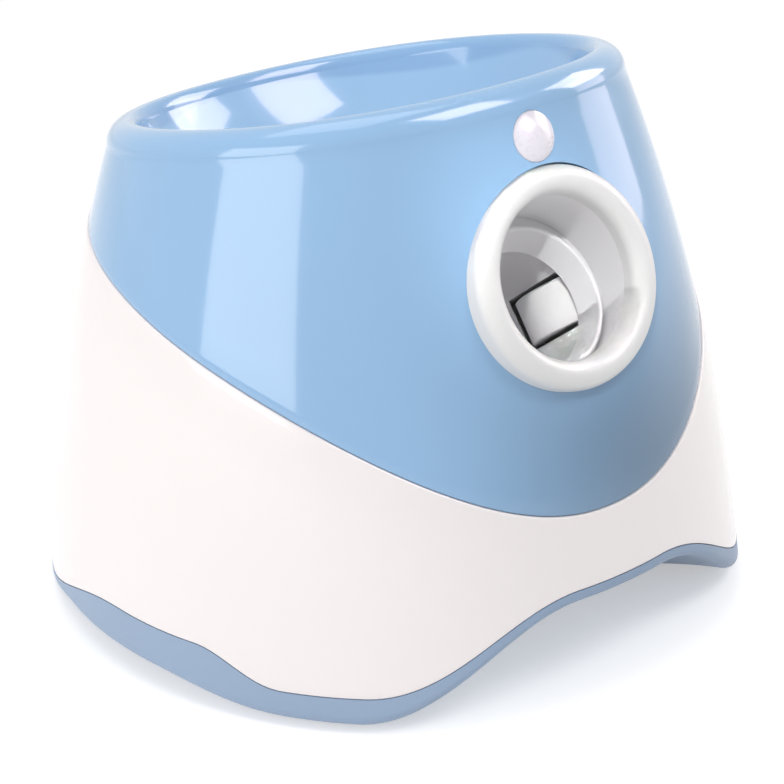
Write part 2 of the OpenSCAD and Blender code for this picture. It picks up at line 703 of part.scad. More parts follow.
// ---- launch wheels and motors ---------------------------------------------
hub_dish = 5;               // depth of the hub's hollow on each side
hub_rim = 2.5;
hub_core_r = 5.5;
spoke_t = 2;
tread_bevel = 1;
module wheel_place(m) {
    launch_frame() translate([m * wheel_x, 0, -wheel_s]) rotate([-90, 0, 0]) children();
}
module wheel_hub(m) wheel_place(m) difference() {
    hub_r = wheel_d / 2 - tread_t;
    cylinder(r = hub_r, h = wheel_w, center = true, $fn = 72);
    for (k = [0, 1]) mirror([0, 0, k]) translate([0, 0, wheel_w / 2 - hub_dish]) difference() {
        cylinder(r = hub_r - hub_rim, h = hub_dish + over, $fn = 72);
        translate([0, 0, -over]) cylinder(r = hub_core_r, h = hub_dish + 3 * over);
        for (q = [0 : 60 : 300]) rotate(q)
            translate([-spoke_t / 2, 0, -over]) cube([spoke_t, wheel_d, hub_dish + 3 * over]);
    }
    cylinder(r = shaft_d / 2, h = wheel_w + 2 * over, center = true);
}
module wheel_tread(m) wheel_place(m) rotate_extrude($fn = fine) translate([wheel_d / 2 - tread_t, 0])
    polygon([[0, -wheel_w / 2], [tread_t - tread_bevel, -wheel_w / 2],
        [tread_t, -wheel_w / 2 + tread_bevel], [tread_t, wheel_w / 2 - tread_bevel],
        [tread_t - tread_bevel, wheel_w / 2], [0, wheel_w / 2]]);

motor_boss_r = 5;
motor_boss_h = 2;
motor_end_h = 3;
tag = [2.4, 0.6, 6];        // a solder tag
tag_x = 8;
motor_hole_fit = 0.05;
motor_hole_h = 4;
module motor(m) wheel_place(m) translate([0, 0, -deck_v]) difference() {
    union() {
        translate([0, 0, -motor_len]) cylinder(r = motor_d / 2, h = motor_len);
        translate([0, 0, -0.1]) cylinder(r = motor_boss_r, h = motor_boss_h + 0.1);
        translate([0, 0, -motor_len - motor_end_h])
            cylinder(r = motor_boss_r, h = motor_end_h + over);
        for (k = [-1, 1]) translate([k * tag_x - tag[0] / 2, -tag[1] / 2, -motor_len - 5]) cube(tag);
    }
    translate([0, 0, -motor_len - over]) cylinder(r = shaft_d / 2 + run_fit, h = motor_len + 6);
    for (k = [-1, 1]) translate([0, k * motor_screw_at, -motor_hole_h])
        cylinder(r = motor_screw_r + motor_hole_fit, h = motor_hole_h + 2 * over);
}
module motor_shaft(m) wheel_place(m) translate([0, 0, -deck_v - motor_len + over])
    cylinder(r = shaft_d / 2, h = deck_v + motor_len - over + wheel_w / 2);
module left_wheel_hub() color("#c9ccd0") wheel_hub(-1);
module right_wheel_hub() color("#c9ccd0") wheel_hub(1);
module left_wheel_tread() color("#f4f3f2") wheel_tread(-1);
module right_wheel_tread() color("#f4f3f2") wheel_tread(1);
module left_motor() color("#b9bcbf") motor(-1);
module right_motor() color("#b9bcbf") motor(1);
module left_motor_shaft() color("#a8abae") motor_shaft(-1);
module right_motor_shaft() color("#a8abae") motor_shaft(1);

motor_head = [2.4, 1.2];    // radius and height of the head
motor_bite = 3.5;           // how deep the screw bites into the motor
module motor_screws() color("#8d9196") for (m = [-1, 1], k = [-1, 1]) wheel_place(m)
    translate([0, k * motor_screw_at, -slot_h]) {
        translate([0, 0, 0.02]) cylinder(r = motor_head[0], h = motor_head[1]);
        translate([0, 0, -deck_t - motor_bite])
            cylinder(r = motor_screw_r, h = deck_t + motor_bite + 0.1);
    }

// ---- launcher stand ---------------------------------------------------------
stand_from = 4;             // where the stand's foot starts behind the rotor's axis
stand_len = 76;
stand_flange = [11, 3];
stand_top = [18, 41];       // how far its top reaches in front of and behind the wheel axes
bush_hole = 2.5;            // wall of the axle's bush in the stand
wire_hole_r = 9;
wire_hole_z = 26;
cross_wall = [16, 3, 56];   // the cross wall: distance from the stand's back, thickness, height
stand_front = rotor_at[1] + stand_from;
stand_back = stand_front + stand_len;
pinion_hole_r = (pinion_teeth / 2 + 1.4) * gear_module;
function side_pt(v, s) = let(p = launch_pt(0, v, s)) [p[1], p[2]];
module stand_side() rotate([90, 0, 90]) linear_extrude(stand_t) difference() {
    polygon([side_pt(-deck_v, wheel_s - stand_top[0]), side_pt(-deck_v, wheel_s + stand_top[1]),
        side_pt(-deck_v - 4, end_s - 4), [stand_back, floor_top], [stand_front, floor_top]]);
    translate([rotor_at[1], rotor_at[2]]) circle(r = axle_d / 2 + bush_hole);
    translate(pinion_at) circle(r = pinion_hole_r);
    translate([(stand_front + stand_back) / 2, wire_hole_z]) circle(r = wire_hole_r);
}
module launcher_stand() color("#c3c7cc") difference() {
    union() {
        for (m = [0, 1]) mirror([m, 0, 0]) translate([stand_x, 0, 0]) {
            stand_side();
            translate([0, stand_front, floor_top])
                cube([stand_flange[0], stand_len, stand_flange[1]]);
        }
        translate([-stand_x - over, stand_back - cross_wall[0], floor_top])
            cube([2 * (stand_x + over), cross_wall[1], cross_wall[2]]);
    }
    launch_frame() translate([0, 0, -limit]) cylinder(r = channel_out + shell_gap, h = 2 * limit, $fn = fine);
}

// ---- feed -------------------------------------------------------------------
rotor_core_r = 9;
rotor_hub = [6, 8];         // radius of the rotor's hub, and how far it reaches on each side
finger_rest = 80;           // direction of the first finger at rest
finger_root = 6;
finger_tip = 4.5;
finger_step = 0.5;          // how far a finger's sides lie inside the core's
module on_axle(x) { translate([x, rotor_at[1], rotor_at[2]]) rotate([0, 90, 0]) children(); }
module feed_rotor() color("#e0894a") on_axle(-finger_w / 2) difference() {
    union() {
        cylinder(r = rotor_core_r, h = finger_w);
        for (q = [0 : 120 : 240]) rotate(q + finger_rest)
            translate([0, 0, finger_step]) linear_extrude(finger_w - 2 * finger_step) polygon([
            [0, -finger_root], for (t = [-75 : 15 : 75])
                [finger_reach - finger_tip + finger_tip * cos(t), finger_tip * sin(t)],
            [0, finger_root]]);
        translate([0, 0, -rotor_hub[1]]) cylinder(r = rotor_hub[0], h = finger_w + 2 * rotor_hub[1]);
    }
    translate([0, 0, -rotor_hub[1] - 2 * over])
        cylinder(r = axle_d / 2, h = finger_w + 2 * rotor_hub[1] + 4 * over);
}
axle_reach = stand_x + stand_t + 1.5;
module feed_axle() color("#a8abae") on_axle(-axle_reach)
    cylinder(r = axle_d / 2, h = 2 * axle_reach + gear_w + 1);
bush_seat = 0.05;           // gap round the bush in the stand
bush_flange = [4, 0.9];     // flange of the bush, beyond the axle and thick
module axle_bushes() color("#b58d4a") for (m = [0, 1]) mirror([m, 0, 0])
    on_axle(stand_x - 1) difference() {
        union() {
            cylinder(r = axle_d / 2 + bush_hole - bush_seat, h = stand_t + 1);
            cylinder(r = axle_d / 2 + bush_flange[0], h = bush_flange[1]);
        }
        translate([0, 0, -over]) cylinder(r = axle_d / 2 + run_fit, h = stand_t + 4 * over);
    }

// Involute gear outline
pressure = 20;              // pressure angle, in degrees
function inv(a) = tan(a) - a * PI / 180;
module gear_2d(n, play) {
    pitch = gear_module * n / 2;
    root_base = pitch * cos(pressure);
    root = pitch - 1.25 * gear_module;
    tip = pitch + 0.95 * gear_module;
    low = max(root_base, root) + 0.01;
    flank = [for (k = [0 : 4]) mix(low, tip, k / 4)];
    half = 90 / n - play;
    function lean(r) = half + (inv(pressure) - inv(acos(root_base / r))) * 180 / PI;
    polygon([for (i = [0 : n - 1]) each [
        let(q = 360 * i / n - lean(low)) [root * cos(q), root * sin(q)],
        for (r = flank) let(q = 360 * i / n - lean(r)) [r * cos(q), r * sin(q)],
        for (k = [4 : -1 : 0]) let(r = flank[k], q = 360 * i / n + lean(r)) [r * cos(q), r * sin(q)],
        let(q = 360 * i / n + lean(low)) [root * cos(q), root * sin(q)]]]);
}
gear_x = stand_x + stand_t + 1;
gear_boss = [7, 0.5];       // radius of the boss, and how far it stands out on each side
gear_hole = [13.5, 3.6];    // distance and radius of the lightening holes
pinion_in = 0.25;           // how far the pinion's sides lie inside the gear's
gear_play = 0.12;           // half the play of a tooth, in degrees, on gear and pinion
pinion_play = 0.35;
// Direction of the pinion in the gear's own drawing, whose x points down and y points back
line_dir = 90 + pinion_dir;
module feed_gear() color("#f0efe9") on_axle(gear_x) difference() {
    union() {
        linear_extrude(gear_w) rotate(line_dir) gear_2d(gear_teeth, gear_play);
        translate([0, 0, -gear_boss[1]]) cylinder(r = gear_boss[0], h = gear_w + 2 * gear_boss[1]);
    }
    translate([0, 0, -over]) cylinder(r = axle_d / 2, h = gear_w + 3 * over);
    for (q = [30 : 60 : 330]) rotate(q) translate([gear_hole[0], 0, -over])
        cylinder(r = gear_hole[1], h = gear_w + 2 * over);
}
module on_pinion(x) { translate([x, pinion_at[0], pinion_at[1]]) rotate([0, 90, 0]) children(); }
module feed_pinion() color("#f0efe9") on_pinion(gear_x + pinion_in) difference() {
    linear_extrude(gear_w - 2 * pinion_in) rotate(line_dir + 180 + 180 / pinion_teeth)
        gear_2d(pinion_teeth, pinion_play);
    translate([0, 0, -over]) cylinder(r = pinion_bore_r, h = gear_w + 2 * over);
}
gearbox = [10, 24, 16];
feed_can = [6.5, 15.1];     // radius and length of the feed motor
module feed_gearmotor() difference() {
    union() {
        color("#c2a45a") translate([stand_x - gearbox[0], pinion_at[0] - gearbox[1] / 2,
            pinion_at[1] - gearbox[2] / 2]) cube(gearbox);
        color("#b9bcbf") on_pinion(stand_x - 25) cylinder(r = feed_can[0], h = feed_can[1]);
    }
    on_pinion(stand_x - gearbox[0] + over) cylinder(r = pinion_bore_r + run_fit, h = gearbox[0]);
}
module pinion_shaft() color("#a8abae") on_pinion(stand_x - 8)
    cylinder(r = pinion_bore_r, h = gear_x + gear_w - stand_x + 8);

// ---- controls at the back ---------------------------------------------------
panel_lean = atan(tan(rear_lean) + 2 * rear_bow * panel_z);
panel_corner = 8;
panel_face = -3.2;          // the panel's face lies this far inside the shell's surface
panel_depth = 12;
panel_wall = 2;
panel_t = 2.5;
button_x = 20;
button_rise = 1.6;
button_flange = [1.6, 1.6]; // flange behind the panel, out and thick
plunger_r = 2;
led_x = [-6, 0, 6];
led_r = 1.5;
module panel_frame() {
    translate([0, rear_y(panel_z), panel_z]) rotate([panel_lean - 90, 0, 0]) rotate(180) children();
}
module panel_slab(w, h, low, high, r) slab(low, high) {
    square([w - 2 * r, h], center = true);
    square([w, h - 2 * r], center = true);
    for (x = [-1, 1], y = [-1, 1]) translate([x * (w / 2 - r), y * (h / 2 - r)]) circle(r = r);
}
module control_panel() color("#d6dade") panel_frame() difference() {
    panel_slab(panel_w, panel_h, panel_face - panel_depth, panel_face, panel_corner);
    panel_slab(panel_w - 2 * panel_wall, panel_h - 2 * panel_wall,
        panel_face - panel_depth - 2, panel_face - panel_t, panel_corner - panel_wall);
    for (x = [-1, 1]) translate([x * button_x, 0, panel_face - 4])
        cylinder(r = button_d / 2 + seat, h = 8);
    for (x = led_x) translate([x, 0, panel_face - 4]) cylinder(r = led_r + 0.1, h = 8);
}
module button(x) panel_frame() translate([x, 0, panel_face]) {
    translate([0, 0, -3.6]) cylinder(r = button_d / 2, h = 3.6 + button_rise);
    translate([0, 0, -4.6]) cylinder(r = button_d / 2 + button_flange[0], h = button_flange[1]);
    translate([0, 0, -5.6]) cylinder(r = plunger_r, h = 2);
}
module power_button() color("#8fb6de") button(-button_x);
module distance_button() color("#8fb6de") button(button_x);
module indicator_lenses() color("#e8f4ff") panel_frame()
    for (x = led_x) translate([x, 0, panel_face]) {
        translate([0, 0, -3.4]) cylinder(r = led_r, h = 3.7);
        translate([0, 0, -3.6]) cylinder(r = led_r + 0.7, h = 1);
    }
switch = [6, 6, 2.6];
module control_board() panel_frame() translate([0, 0, panel_face - panel_depth]) {
    color("#2f6b4f") panel_slab(panel_w - 2 * panel_wall - 2 * seat, panel_h - 2 * panel_wall - 2 * seat,
        0, board_t, panel_corner - panel_wall);
    color("#3a3c40") for (x = [-1, 1]) translate([x * button_x, 0, board_t - 0.1]) {
        translate([-switch[0] / 2, -switch[1] / 2, 0]) cube(switch);
        cylinder(r = 1.7, h = 3.6);
    }
}

jack_rim = [1.8, 1.4];      // rim round the socket, out and thick
jack_len = 13;
jack_depth = 9.5;
jack_lean = atan(tan(rear_lean) + 2 * rear_bow * jack_z);
module jack_frame() {
    translate([0, rear_y(jack_z), jack_z]) rotate([jack_lean - 90, 0, 0]) children();
}
module dc_jack() color("#33363a") jack_frame() difference() {
    union() {
        slab(-jack_len, seat) square(jack_w, center = true);
        slab(0, jack_rim[1]) square(jack_w + 2 * jack_rim[0], center = true);
    }
    translate([0, 0, -jack_depth]) cylinder(r = jack_bore / 2, h = jack_len + over);
}

// ---- electronics and battery in the base --------------------------------------
board_z = 15;
board_x = -86;
board_y = 4;
board_size = [58, 66];
board_screw_in = 4;         // distance of the screws from the board's edges
board_at = [for (x = [-1, 1], y = [-1, 1])
    [board_x + x * (board_size[0] / 2 - board_screw_in),
        board_y + y * (board_size[1] / 2 - board_screw_in)]];
module main_board() translate([board_x, board_y, board_z]) {
    color("#2f6b4f") difference() {
        translate([-board_size[0] / 2, -board_size[1] / 2, 0])
            cube([board_size[0], board_size[1], board_t]);
        for (p = board_at) translate([p[0] - board_x, p[1] - board_y, -over])
            cylinder(r = board_screw_r + screw_hole, h = 4 * over);
    }
    translate([0, 0, board_t - 0.1]) {
        color("#26282c") translate([-8, -6, 0]) cube([14, 14, 2]);
        color("#26282c") translate([-6, 16, 0]) cube([10, 8, 4]);
        color("#e9e6dc") for (k = [-1, 0, 1]) translate([14, k * 14 - 5, 0]) cube([6, 10, 7]);
        color("#3f4a66") for (k = [-1, 1]) translate([-18, k * 12, 0]) cylinder(r = 4, h = 11);
        color("#26282c") translate([0, -20, 0]) cylinder(r = 6, h = 8);
    }
}
board_head = [2.2, 1.4];    // radius and height of the head
module board_screws() color("#8d9196")
    for (p = board_at) translate([p[0], p[1], board_z + board_t + 0.02]) {
        cylinder(r = board_head[0], h = board_head[1]);
        translate([0, 0, -board_screw_len]) cylinder(r = board_screw_r, h = board_screw_len + 0.1);
    }

well_room = 0.5;            // room round the pack in its well
well_w = pack_w + 2 * well_room;
well_l = pack_l + 2 * well_room;
well_y = 32;
door_t = 1.5;
door_lap = [11, 3];         // how far the door reaches beyond the well, to the sides and fore and aft
door_rib = 2.5;
door_screw_x = well_w / 2 + 6;
module battery_pack() color("#3c6fb5")
    translate([-pack_w / 2, well_y + well_room, floor_top + touch]) cube([pack_w, pack_l, pack_h]);
module battery_door() color("#93a9ca") difference() {
    union() {
        translate([-well_w / 2 - door_lap[0], well_y - door_lap[1], foot_h - door_t])
            cube([well_w + 2 * door_lap[0], well_l + 2 * door_lap[1], door_t]);
        translate([-well_w / 2 + seat, well_y + seat, foot_h - 0.1])
            cube([well_w - 2 * seat, well_l - 2 * seat, floor_t + 0.1]);
    }
    translate([-well_w / 2 + door_rib, well_y + door_rib, foot_h])
        cube([well_w - 2 * door_rib, well_l - 2 * door_rib, 10]);
    for (s = [-1, 1]) translate([s * door_screw_x, well_y + well_l / 2, 0])
        cylinder(r = door_screw_r + screw_hole, h = 10);
}
door_head = [2.4, 0.75];    // radius and height of the head
module door_screws() color("#8d9196")
    for (s = [-1, 1]) translate([s * door_screw_x, well_y + well_l / 2, foot_h - door_t]) {
        translate([0, 0, -door_head[1]]) cylinder(r = door_head[0], h = door_head[1]);
        cylinder(r = door_screw_r, h = door_screw_len);
    }

upper_cover();
hopper_funnel();
lower_shell();
base_tray();
outlet_ring();
outlet_sleeve();
nozzle();
sensor_lens();
sensor_board();
launcher_upper();
launcher_lower();
left_wheel_hub();
left_wheel_tread();
right_wheel_hub();
right_wheel_tread();
left_motor();
right_motor();
left_motor_shaft();
right_motor_shaft();
motor_screws();
launcher_stand();
feed_rotor();
feed_axle();
feed_gear();
feed_pinion();
pinion_shaft();
feed_gearmotor();
axle_bushes();
control_panel();
power_button();
distance_button();
indicator_lenses();
control_board();
dc_jack();
main_board();
battery_pack();
battery_door();
door_screws();
case_screws();
board_screws();
rubber_feet();
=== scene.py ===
"""Looks of the automatic dog ball launcher: fine shells, finishes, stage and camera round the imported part."""

import json
from math import asin, atan, copysign, cos, degrees, pi, radians, sin, sqrt, tan

import bmesh
import bpy
from bpy.props import FloatProperty, FloatVectorProperty, IntProperty, PointerProperty
from bpy.types import Operator, Panel, PropertyGroup, Scene
from mathutils import Matrix, Vector


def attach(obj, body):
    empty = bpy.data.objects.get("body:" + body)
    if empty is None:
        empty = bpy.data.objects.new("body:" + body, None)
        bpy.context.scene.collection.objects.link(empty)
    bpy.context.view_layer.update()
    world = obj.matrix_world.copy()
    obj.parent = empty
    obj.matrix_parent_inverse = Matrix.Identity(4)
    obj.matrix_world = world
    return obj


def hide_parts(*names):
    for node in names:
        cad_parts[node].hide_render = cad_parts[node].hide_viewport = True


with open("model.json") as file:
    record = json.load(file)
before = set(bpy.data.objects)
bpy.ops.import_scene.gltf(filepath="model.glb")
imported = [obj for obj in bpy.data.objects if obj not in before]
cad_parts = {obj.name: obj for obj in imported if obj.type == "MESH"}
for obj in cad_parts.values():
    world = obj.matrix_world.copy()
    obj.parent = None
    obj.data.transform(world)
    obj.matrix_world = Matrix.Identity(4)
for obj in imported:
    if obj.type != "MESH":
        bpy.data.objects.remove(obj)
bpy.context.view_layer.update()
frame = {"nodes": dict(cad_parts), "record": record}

bl_info = {
    "name": "Dog ball launcher",
    "version": (1, 0, 0),
    "blender": (4, 5, 0),
    "location": "3D View > Sidebar > Launcher",
    "description": "Builds the visible shells, finishes and stage of a dog ball launcher",
    "category": "Object",
}

MM = 0.001
LIP_END = 150               # where the rim's arc runs into the dish, in degrees round from the outer wall
DISH_GAP = 0.02 * MM        # fine line between the rim and the dish
RING_SINK = 1.3 * MM        # how far the ring's plane lies behind the front wall
FLANGE_UP = 3.5 * MM        # how far the nozzle's flange and the liner's inner end lie above the launch axis
EDGE_SHARE = 0.6            # the base's rounding takes at most this share of its visible height
SHARP = 38.0                # edges that bend by more than this many degrees stay sharp
ON_AXIS = 1e-7              # a profile's point that is nearer to the axis than this lies on it

# Waves of the lower edges, in degrees round from the front
ARCH_FLAT, ARCH_RUN, ARCH_EDGE_RUN = 8, 38, 36                  # level half; fall of the base, of the shell
WAVE_START, WAVE_END, WAVE_RISE, WAVE_FALL = 72, 88, 15, 34     # full height from, to; its rise and its fall
LIFT_MID, LIFT_FLAT, LIFT_RUN = 92, 10, 24                      # middle of the lifted side, level half, fall
# The base's underside, in shares of the way out to its edge: level, then running to the edge's height
UNDER_FLAT, UNDER_RUN = 0.5, 0.45


# ---- settings that a user would change ----

def length(label, metres, about):
    return FloatProperty(name=label, description=about, default=metres, unit="LENGTH", precision=4)


def angle(label, turn, about):
    return FloatProperty(name=label, description=about, default=radians(turn), unit="ROTATION")


def colour(label, rgb, about):
    return FloatVectorProperty(name=label, description=about, default=rgb, subtype="COLOR", size=3,
                               min=0.0, max=1.0)


class LauncherSizes(PropertyGroup):
    """Sizes of the casing, as the part has them."""
    body_len: length("Foot length", 0.330, "Length of the outline at the floor")
    body_shift: length("Shift", 0.0037, "How far the outline's middle lies in front of the origin")
    body_w: length("Foot width", 0.298, "Width of the outline at the floor")
    body_h: length("Height", 0.240, "Height of the rim at the front")
    rim_len: length("Rim length", 0.203, "Length of the rim, outside")
    rim_w: length("Rim width", 0.210, "Width of the rim, outside")
    rim_tilt: angle("Rim tilt", 9.3, "Slope of the rim towards the back")
    front_lean: angle("Front lean", 10.0, "Lean of the front wall at the floor")
    rear_lean: angle("Rear lean", 15.0, "Lean of the back wall at the floor")
    side_lean: angle("Side lean", 1.25, "Lean of the side walls at the floor")
    foot_square: FloatProperty(name="Foot squareness", description="Power of the outline at the floor",
                               default=2.05)
    rim_square: FloatProperty(name="Rim squareness", description="Power of the outline at the rim",
                              default=2.22)
    wall: length("Wall", 0.003, "Wall thickness of the shells")
    lip_r: length("Rim radius", 0.010, "Radius of the rounded rim on its outer side")
    lip_in_r: length("Inner rim radius", 0.005, "Radius of the rounded rim on the hopper's side")
    cover_inset: length("Cover inset", 0.0006, "How far the cover lies inside the outline")
    seam_gap: length("Seam gap", 0.0003, "Gap between cover and shell")
    seam_front_z: length("Seam front", 0.0765, "Height of the cover's edge at the front")
    seam_side_z: length("Seam side", 0.159, "Height of the cover's edge at the sides")
    seam_rear_z: length("Seam rear", 0.178, "Height of the cover's edge at the back")
    seam_rise: angle("Seam rise", 14.6, "Rise of the cover's edge along the side")
    arch_white_z: length("Arch edge", 0.0485, "Height of the shell's edge over the front arch")
    foot_white_z: length("Foot edge", 0.016, "Height of the shell's edge at the front feet")
    wave_white_z: length("Wave edge", 0.0285, "Height of the shell's edge at the side waves")
    rear_white_z: length("Rear edge", 0.0085, "Height of the shell's edge at the back")
    arch_z: length("Arch", 0.041, "Height of the front arch under the base")
    side_lift: length("Side lift", 0.0055, "Lift of the base's edge along the sides")
    foot_h: length("Foot height", 0.0025, "Height of the rubber feet")
    base_edge_r: length("Base edge", 0.006, "Radius of the base's lower edge")
    throat_z: length("Throat height", 0.1595, "Height of the hopper's throat")
    throat_r: length("Throat radius", 0.0275, "Radius of the hopper's throat")
    dish_t: length("Dish wall", 0.0022, "Thickness of the hopper's dish")


class LauncherRear(PropertyGroup):
    """Sizes of the controls and the power socket at the back, as the part has them."""
    panel_w: length("Panel width", 0.070, "Width of the control panel")
    panel_h: length("Panel height", 0.032, "Height of the control panel")
    panel_z: length("Panel place", 0.084, "Height of the panel's centre above the floor")
    panel_corner: length("Panel corner", 0.008, "Radius of the panel's corners")
    panel_face: length("Panel face", 0.0032, "How far the panel's face lies inside the shell")
    panel_depth: length("Panel depth", 0.012, "Depth of the panel's frame")
    button_d: length("Button", 0.013, "Diameter of the buttons")
    button_x: length("Button place", 0.020, "Distance of the buttons from the panel's middle")
    led_x: length("Indicator step", 0.006, "Distance between the indicators")
    led_r: length("Indicator radius", 0.0016, "Radius of the indicators' holes")
    jack_z: length("Socket height", 0.040, "Height of the power socket")
    jack_w: length("Socket block", 0.011, "Width and height of the socket's block")
    jack_rim: length("Socket rim", 0.0018, "Width of the rim round the socket")
    jack_bore: length("Socket bore", 0.006, "Diameter of the socket's bore")


class LauncherOutlet(PropertyGroup):
    """Sizes of the outlet, the nozzle and the wheels, as the part has them."""
    outlet_z: length("Outlet height", 0.167, "Height of the ring's centre")
    outlet_tilt: angle("Outlet tilt", 21.5, "Upward tilt of the ring")
    outlet_r: length("Ring radius", 0.0447, "Outer radius of the ring")
    mouth_r: length("Mouth radius", 0.0329, "Radius of the ring's mouth")
    ring_depth: length("Ring depth", 0.012, "Depth of the ring's skirt")
    launch_elev: angle("Launch elevation", 35.0, "Elevation of the launch channel")
    muzzle_y: length("Muzzle distance", 0.1121976, "Distance of the nozzle's end in front of the origin")
    muzzle_z: length("Muzzle height", 0.152, "Height of the nozzle's end")
    nozzle_len: length("Nozzle length", 0.012, "Length of the nozzle")
    nozzle_r: length("Nozzle radius", 0.0312, "Outer radius of the nozzle's end")
    channel_out: length("Channel radius", 0.031, "Outer radius of the launch channel")
    rest_s: length("Ball place", 0.098, "Distance from the muzzle to the waiting ball")
    wheel_x: length("Wheel distance", 0.051, "Distance of the wheel axles from the middle")
    wheel_s: length("Wheel place", 0.034, "Distance of the wheel axles behind the muzzle")
    wheel_r: length("Wheel radius", 0.029, "Radius of the launch wheels")
    wheel_w: length("Wheel width", 0.020, "Width of the launch wheels")
    tread_t: length("Tread", 0.005, "Thickness of the wheels' tread")
    sensor_z: length("Sensor height", 0.221, "Height of the motion sensor's centre")
    sensor_r: length("Sensor radius", 0.010, "Radius of the sensor's dome")
    dome_h: length("Dome height", 0.0034, "Height of the sensor's dome")


class LauncherColours(PropertyGroup):
    """Colours of the finishes."""
    cover: colour("Cover", (0.282, 0.487, 0.745), "Light blue of the glossy cover")
    # The hopper's lighter blue is a painted sheen on the same moulding as the cover.
    hopper: colour("Hopper", (0.365, 0.585, 0.83), "Lighter blue inside the hopper")
    shell: colour("Shell", (0.900, 0.856, 0.858), "Warm white of the shell")
    base: colour("Base", (0.300, 0.405, 0.560), "Greyed blue of the base")
    ring: colour("Ring", (0.705, 0.708, 0.708), "White of the outlet ring")
    inside: colour("Inside", (0.860, 0.855, 0.865), "Light grey of the channel and nozzle")


class LauncherStage(PropertyGroup):
    """Camera and lights."""
    camera_at: FloatVectorProperty(name="Camera place", description="Where the camera stands", size=3,
                                   default=(-0.552297, -0.743145, 0.480259), subtype="TRANSLATION")
    azimuth: angle("Azimuth", -37.05, "Direction of view round the object")
    elevation: angle("Elevation", 23.49, "Height of the view above the horizon")
    roll: angle("Roll", -3.04, "Turn of the camera round its axis")
    lens: FloatProperty(name="Lens", description="Focal length on a 36 mm sensor, in millimetres",
                        default=103.6)
    fill: FloatProperty(name="Room light", description="Strength of the room's even light", default=0.50)
    sides: IntProperty(name="Sides", description="Points round each shell", default=288)


# ---- shapes shared by the pieces ----

def mix(a, b, t):
    return a + (b - a) * t


def ease(t):
    t = min(max(t, 0.0), 1.0)
    return t * t * (3 - 2 * t)


def bump(u):
    """1 below 0, falling as half a cosine wave to 0 at 1."""
    return (1 + cos(pi * min(max(u, 0.0), 1.0))) / 2


def signed_power(v, p):
    return copysign(abs(v) ** p, v)


class Casing:
    """The leaning outline that the shells share. Angles run round from the front, in radians."""

    def __init__(self, s):
        self.s = s
        half = (s.body_len - s.rim_len) / 2
        half_across = (s.body_w - s.rim_w) / 2
        rim_rear_z = s.body_h - tan(s.rim_tilt) * s.rim_len
        self.rim_mid_z = (s.body_h + rim_rear_z) / 2
        self.front_bow = (half - tan(s.front_lean) * s.body_h) / s.body_h ** 2
        self.rear_bow = (half - tan(s.rear_lean) * rim_rear_z) / rim_rear_z ** 2
        self.side_bow = (half_across - tan(s.side_lean) * self.rim_mid_z) / self.rim_mid_z ** 2
        y0 = self.front_y(s.seam_front_z)
        y1 = self.rear_y(s.seam_rear_z)
        slope = tan(s.seam_rise)
        self.seam_dip = (s.seam_side_z + slope * y0 - s.seam_front_z) / y0 ** 3
        self.seam_drop = (s.seam_side_z + slope * y1 - s.seam_rear_z) / y1 ** 2

    def front_y(self, z):
        s = self.s
        return -s.body_len / 2 - s.body_shift + tan(s.front_lean) * z + self.front_bow * z * z

    def rear_y(self, z):
        s = self.s
        return s.body_len / 2 - s.body_shift - tan(s.rear_lean) * z - self.rear_bow * z * z

    def half_w(self, z):
        return self.s.body_w / 2 - tan(self.s.side_lean) * z - self.side_bow * z * z

    def wall(self, a, z, inset=0.0):
        s = self.s
        p = 2 / mix(s.foot_square, s.rim_square, z / s.body_h)
        front, rear = self.front_y(z), self.rear_y(z)
        along = (rear - front) / 2 - inset
        across = self.half_w(z) - inset
        return Vector((across * signed_power(sin(a), p),
                       (front + rear) / 2 - along * signed_power(cos(a), p), z))

    def rim_z(self, a):
        z = self.rim_mid_z
        for _ in range(6):
            z = self.rim_mid_z - tan(self.s.rim_tilt) * (self.wall(a, z).y + self.s.body_shift)
        return z

    def lip_z(self, a):
        return self.rim_z(a) - self.s.lip_r

    def lip(self, a, q, thick=0.0):
        """Point of the rim, q degrees round from the outer wall, on a smaller radius towards the hopper."""
        s = self.s
        t = radians(q)
        r = s.lip_r if q < 90 else s.lip_in_r
        p = self.wall(a, self.lip_z(a), s.cover_inset + s.lip_r - (r - thick) * cos(t))
        return Vector((p.x, p.y, p.z + (s.lip_r - thick) * sin(t)))

    def seam_z(self, a):
        z = self.s.body_h / 2
        for _ in range(8):
            y = self.wall(a, z).y
            curve = self.seam_dip * y ** 3 if y < 0 else self.seam_drop * y ** 2
            z = self.s.seam_side_z + tan(self.s.seam_rise) * y - curve
        return z

    def white_z(self, a):
        s = self.s
        b = fold(a)
        if b < (WAVE_START + WAVE_END) / 2:
            return (s.foot_white_z + (s.arch_white_z - s.foot_white_z) * bump((b - ARCH_FLAT) / ARCH_EDGE_RUN)
                    + (s.wave_white_z - s.foot_white_z) * bump((WAVE_START - b) / WAVE_RISE))
        return mix(s.rear_white_z, s.wave_white_z, bump((b - WAVE_END) / WAVE_FALL))

    def base_z(self, a):
        s = self.s
        b = fold(a)
        return (s.foot_h + s.arch_z * bump((b - ARCH_FLAT) / ARCH_RUN)
                + s.side_lift * bump((abs(b - LIFT_MID) - LIFT_FLAT) / LIFT_RUN))

    def edge_r(self, a):
        return min(self.s.base_edge_r, EDGE_SHARE * (self.white_z(a) - self.base_z(a)))

    def under(self, a, f, up=0.0):
        """Point of the base's underside, a share f of the way out to its edge."""
        p = self.wall(a, self.base_z(a), self.edge_r(a))
        z = mix(self.s.foot_h, self.base_z(a), ease((f - UNDER_FLAT) / UNDER_RUN))
        return Vector((p.x * f, p.y * f, z + up))


def fold(a):
    """An angle from the front in degrees, from 0 to 180 on either side."""
    b = degrees(a) % 360
    return 360 - b if b > 180 else b


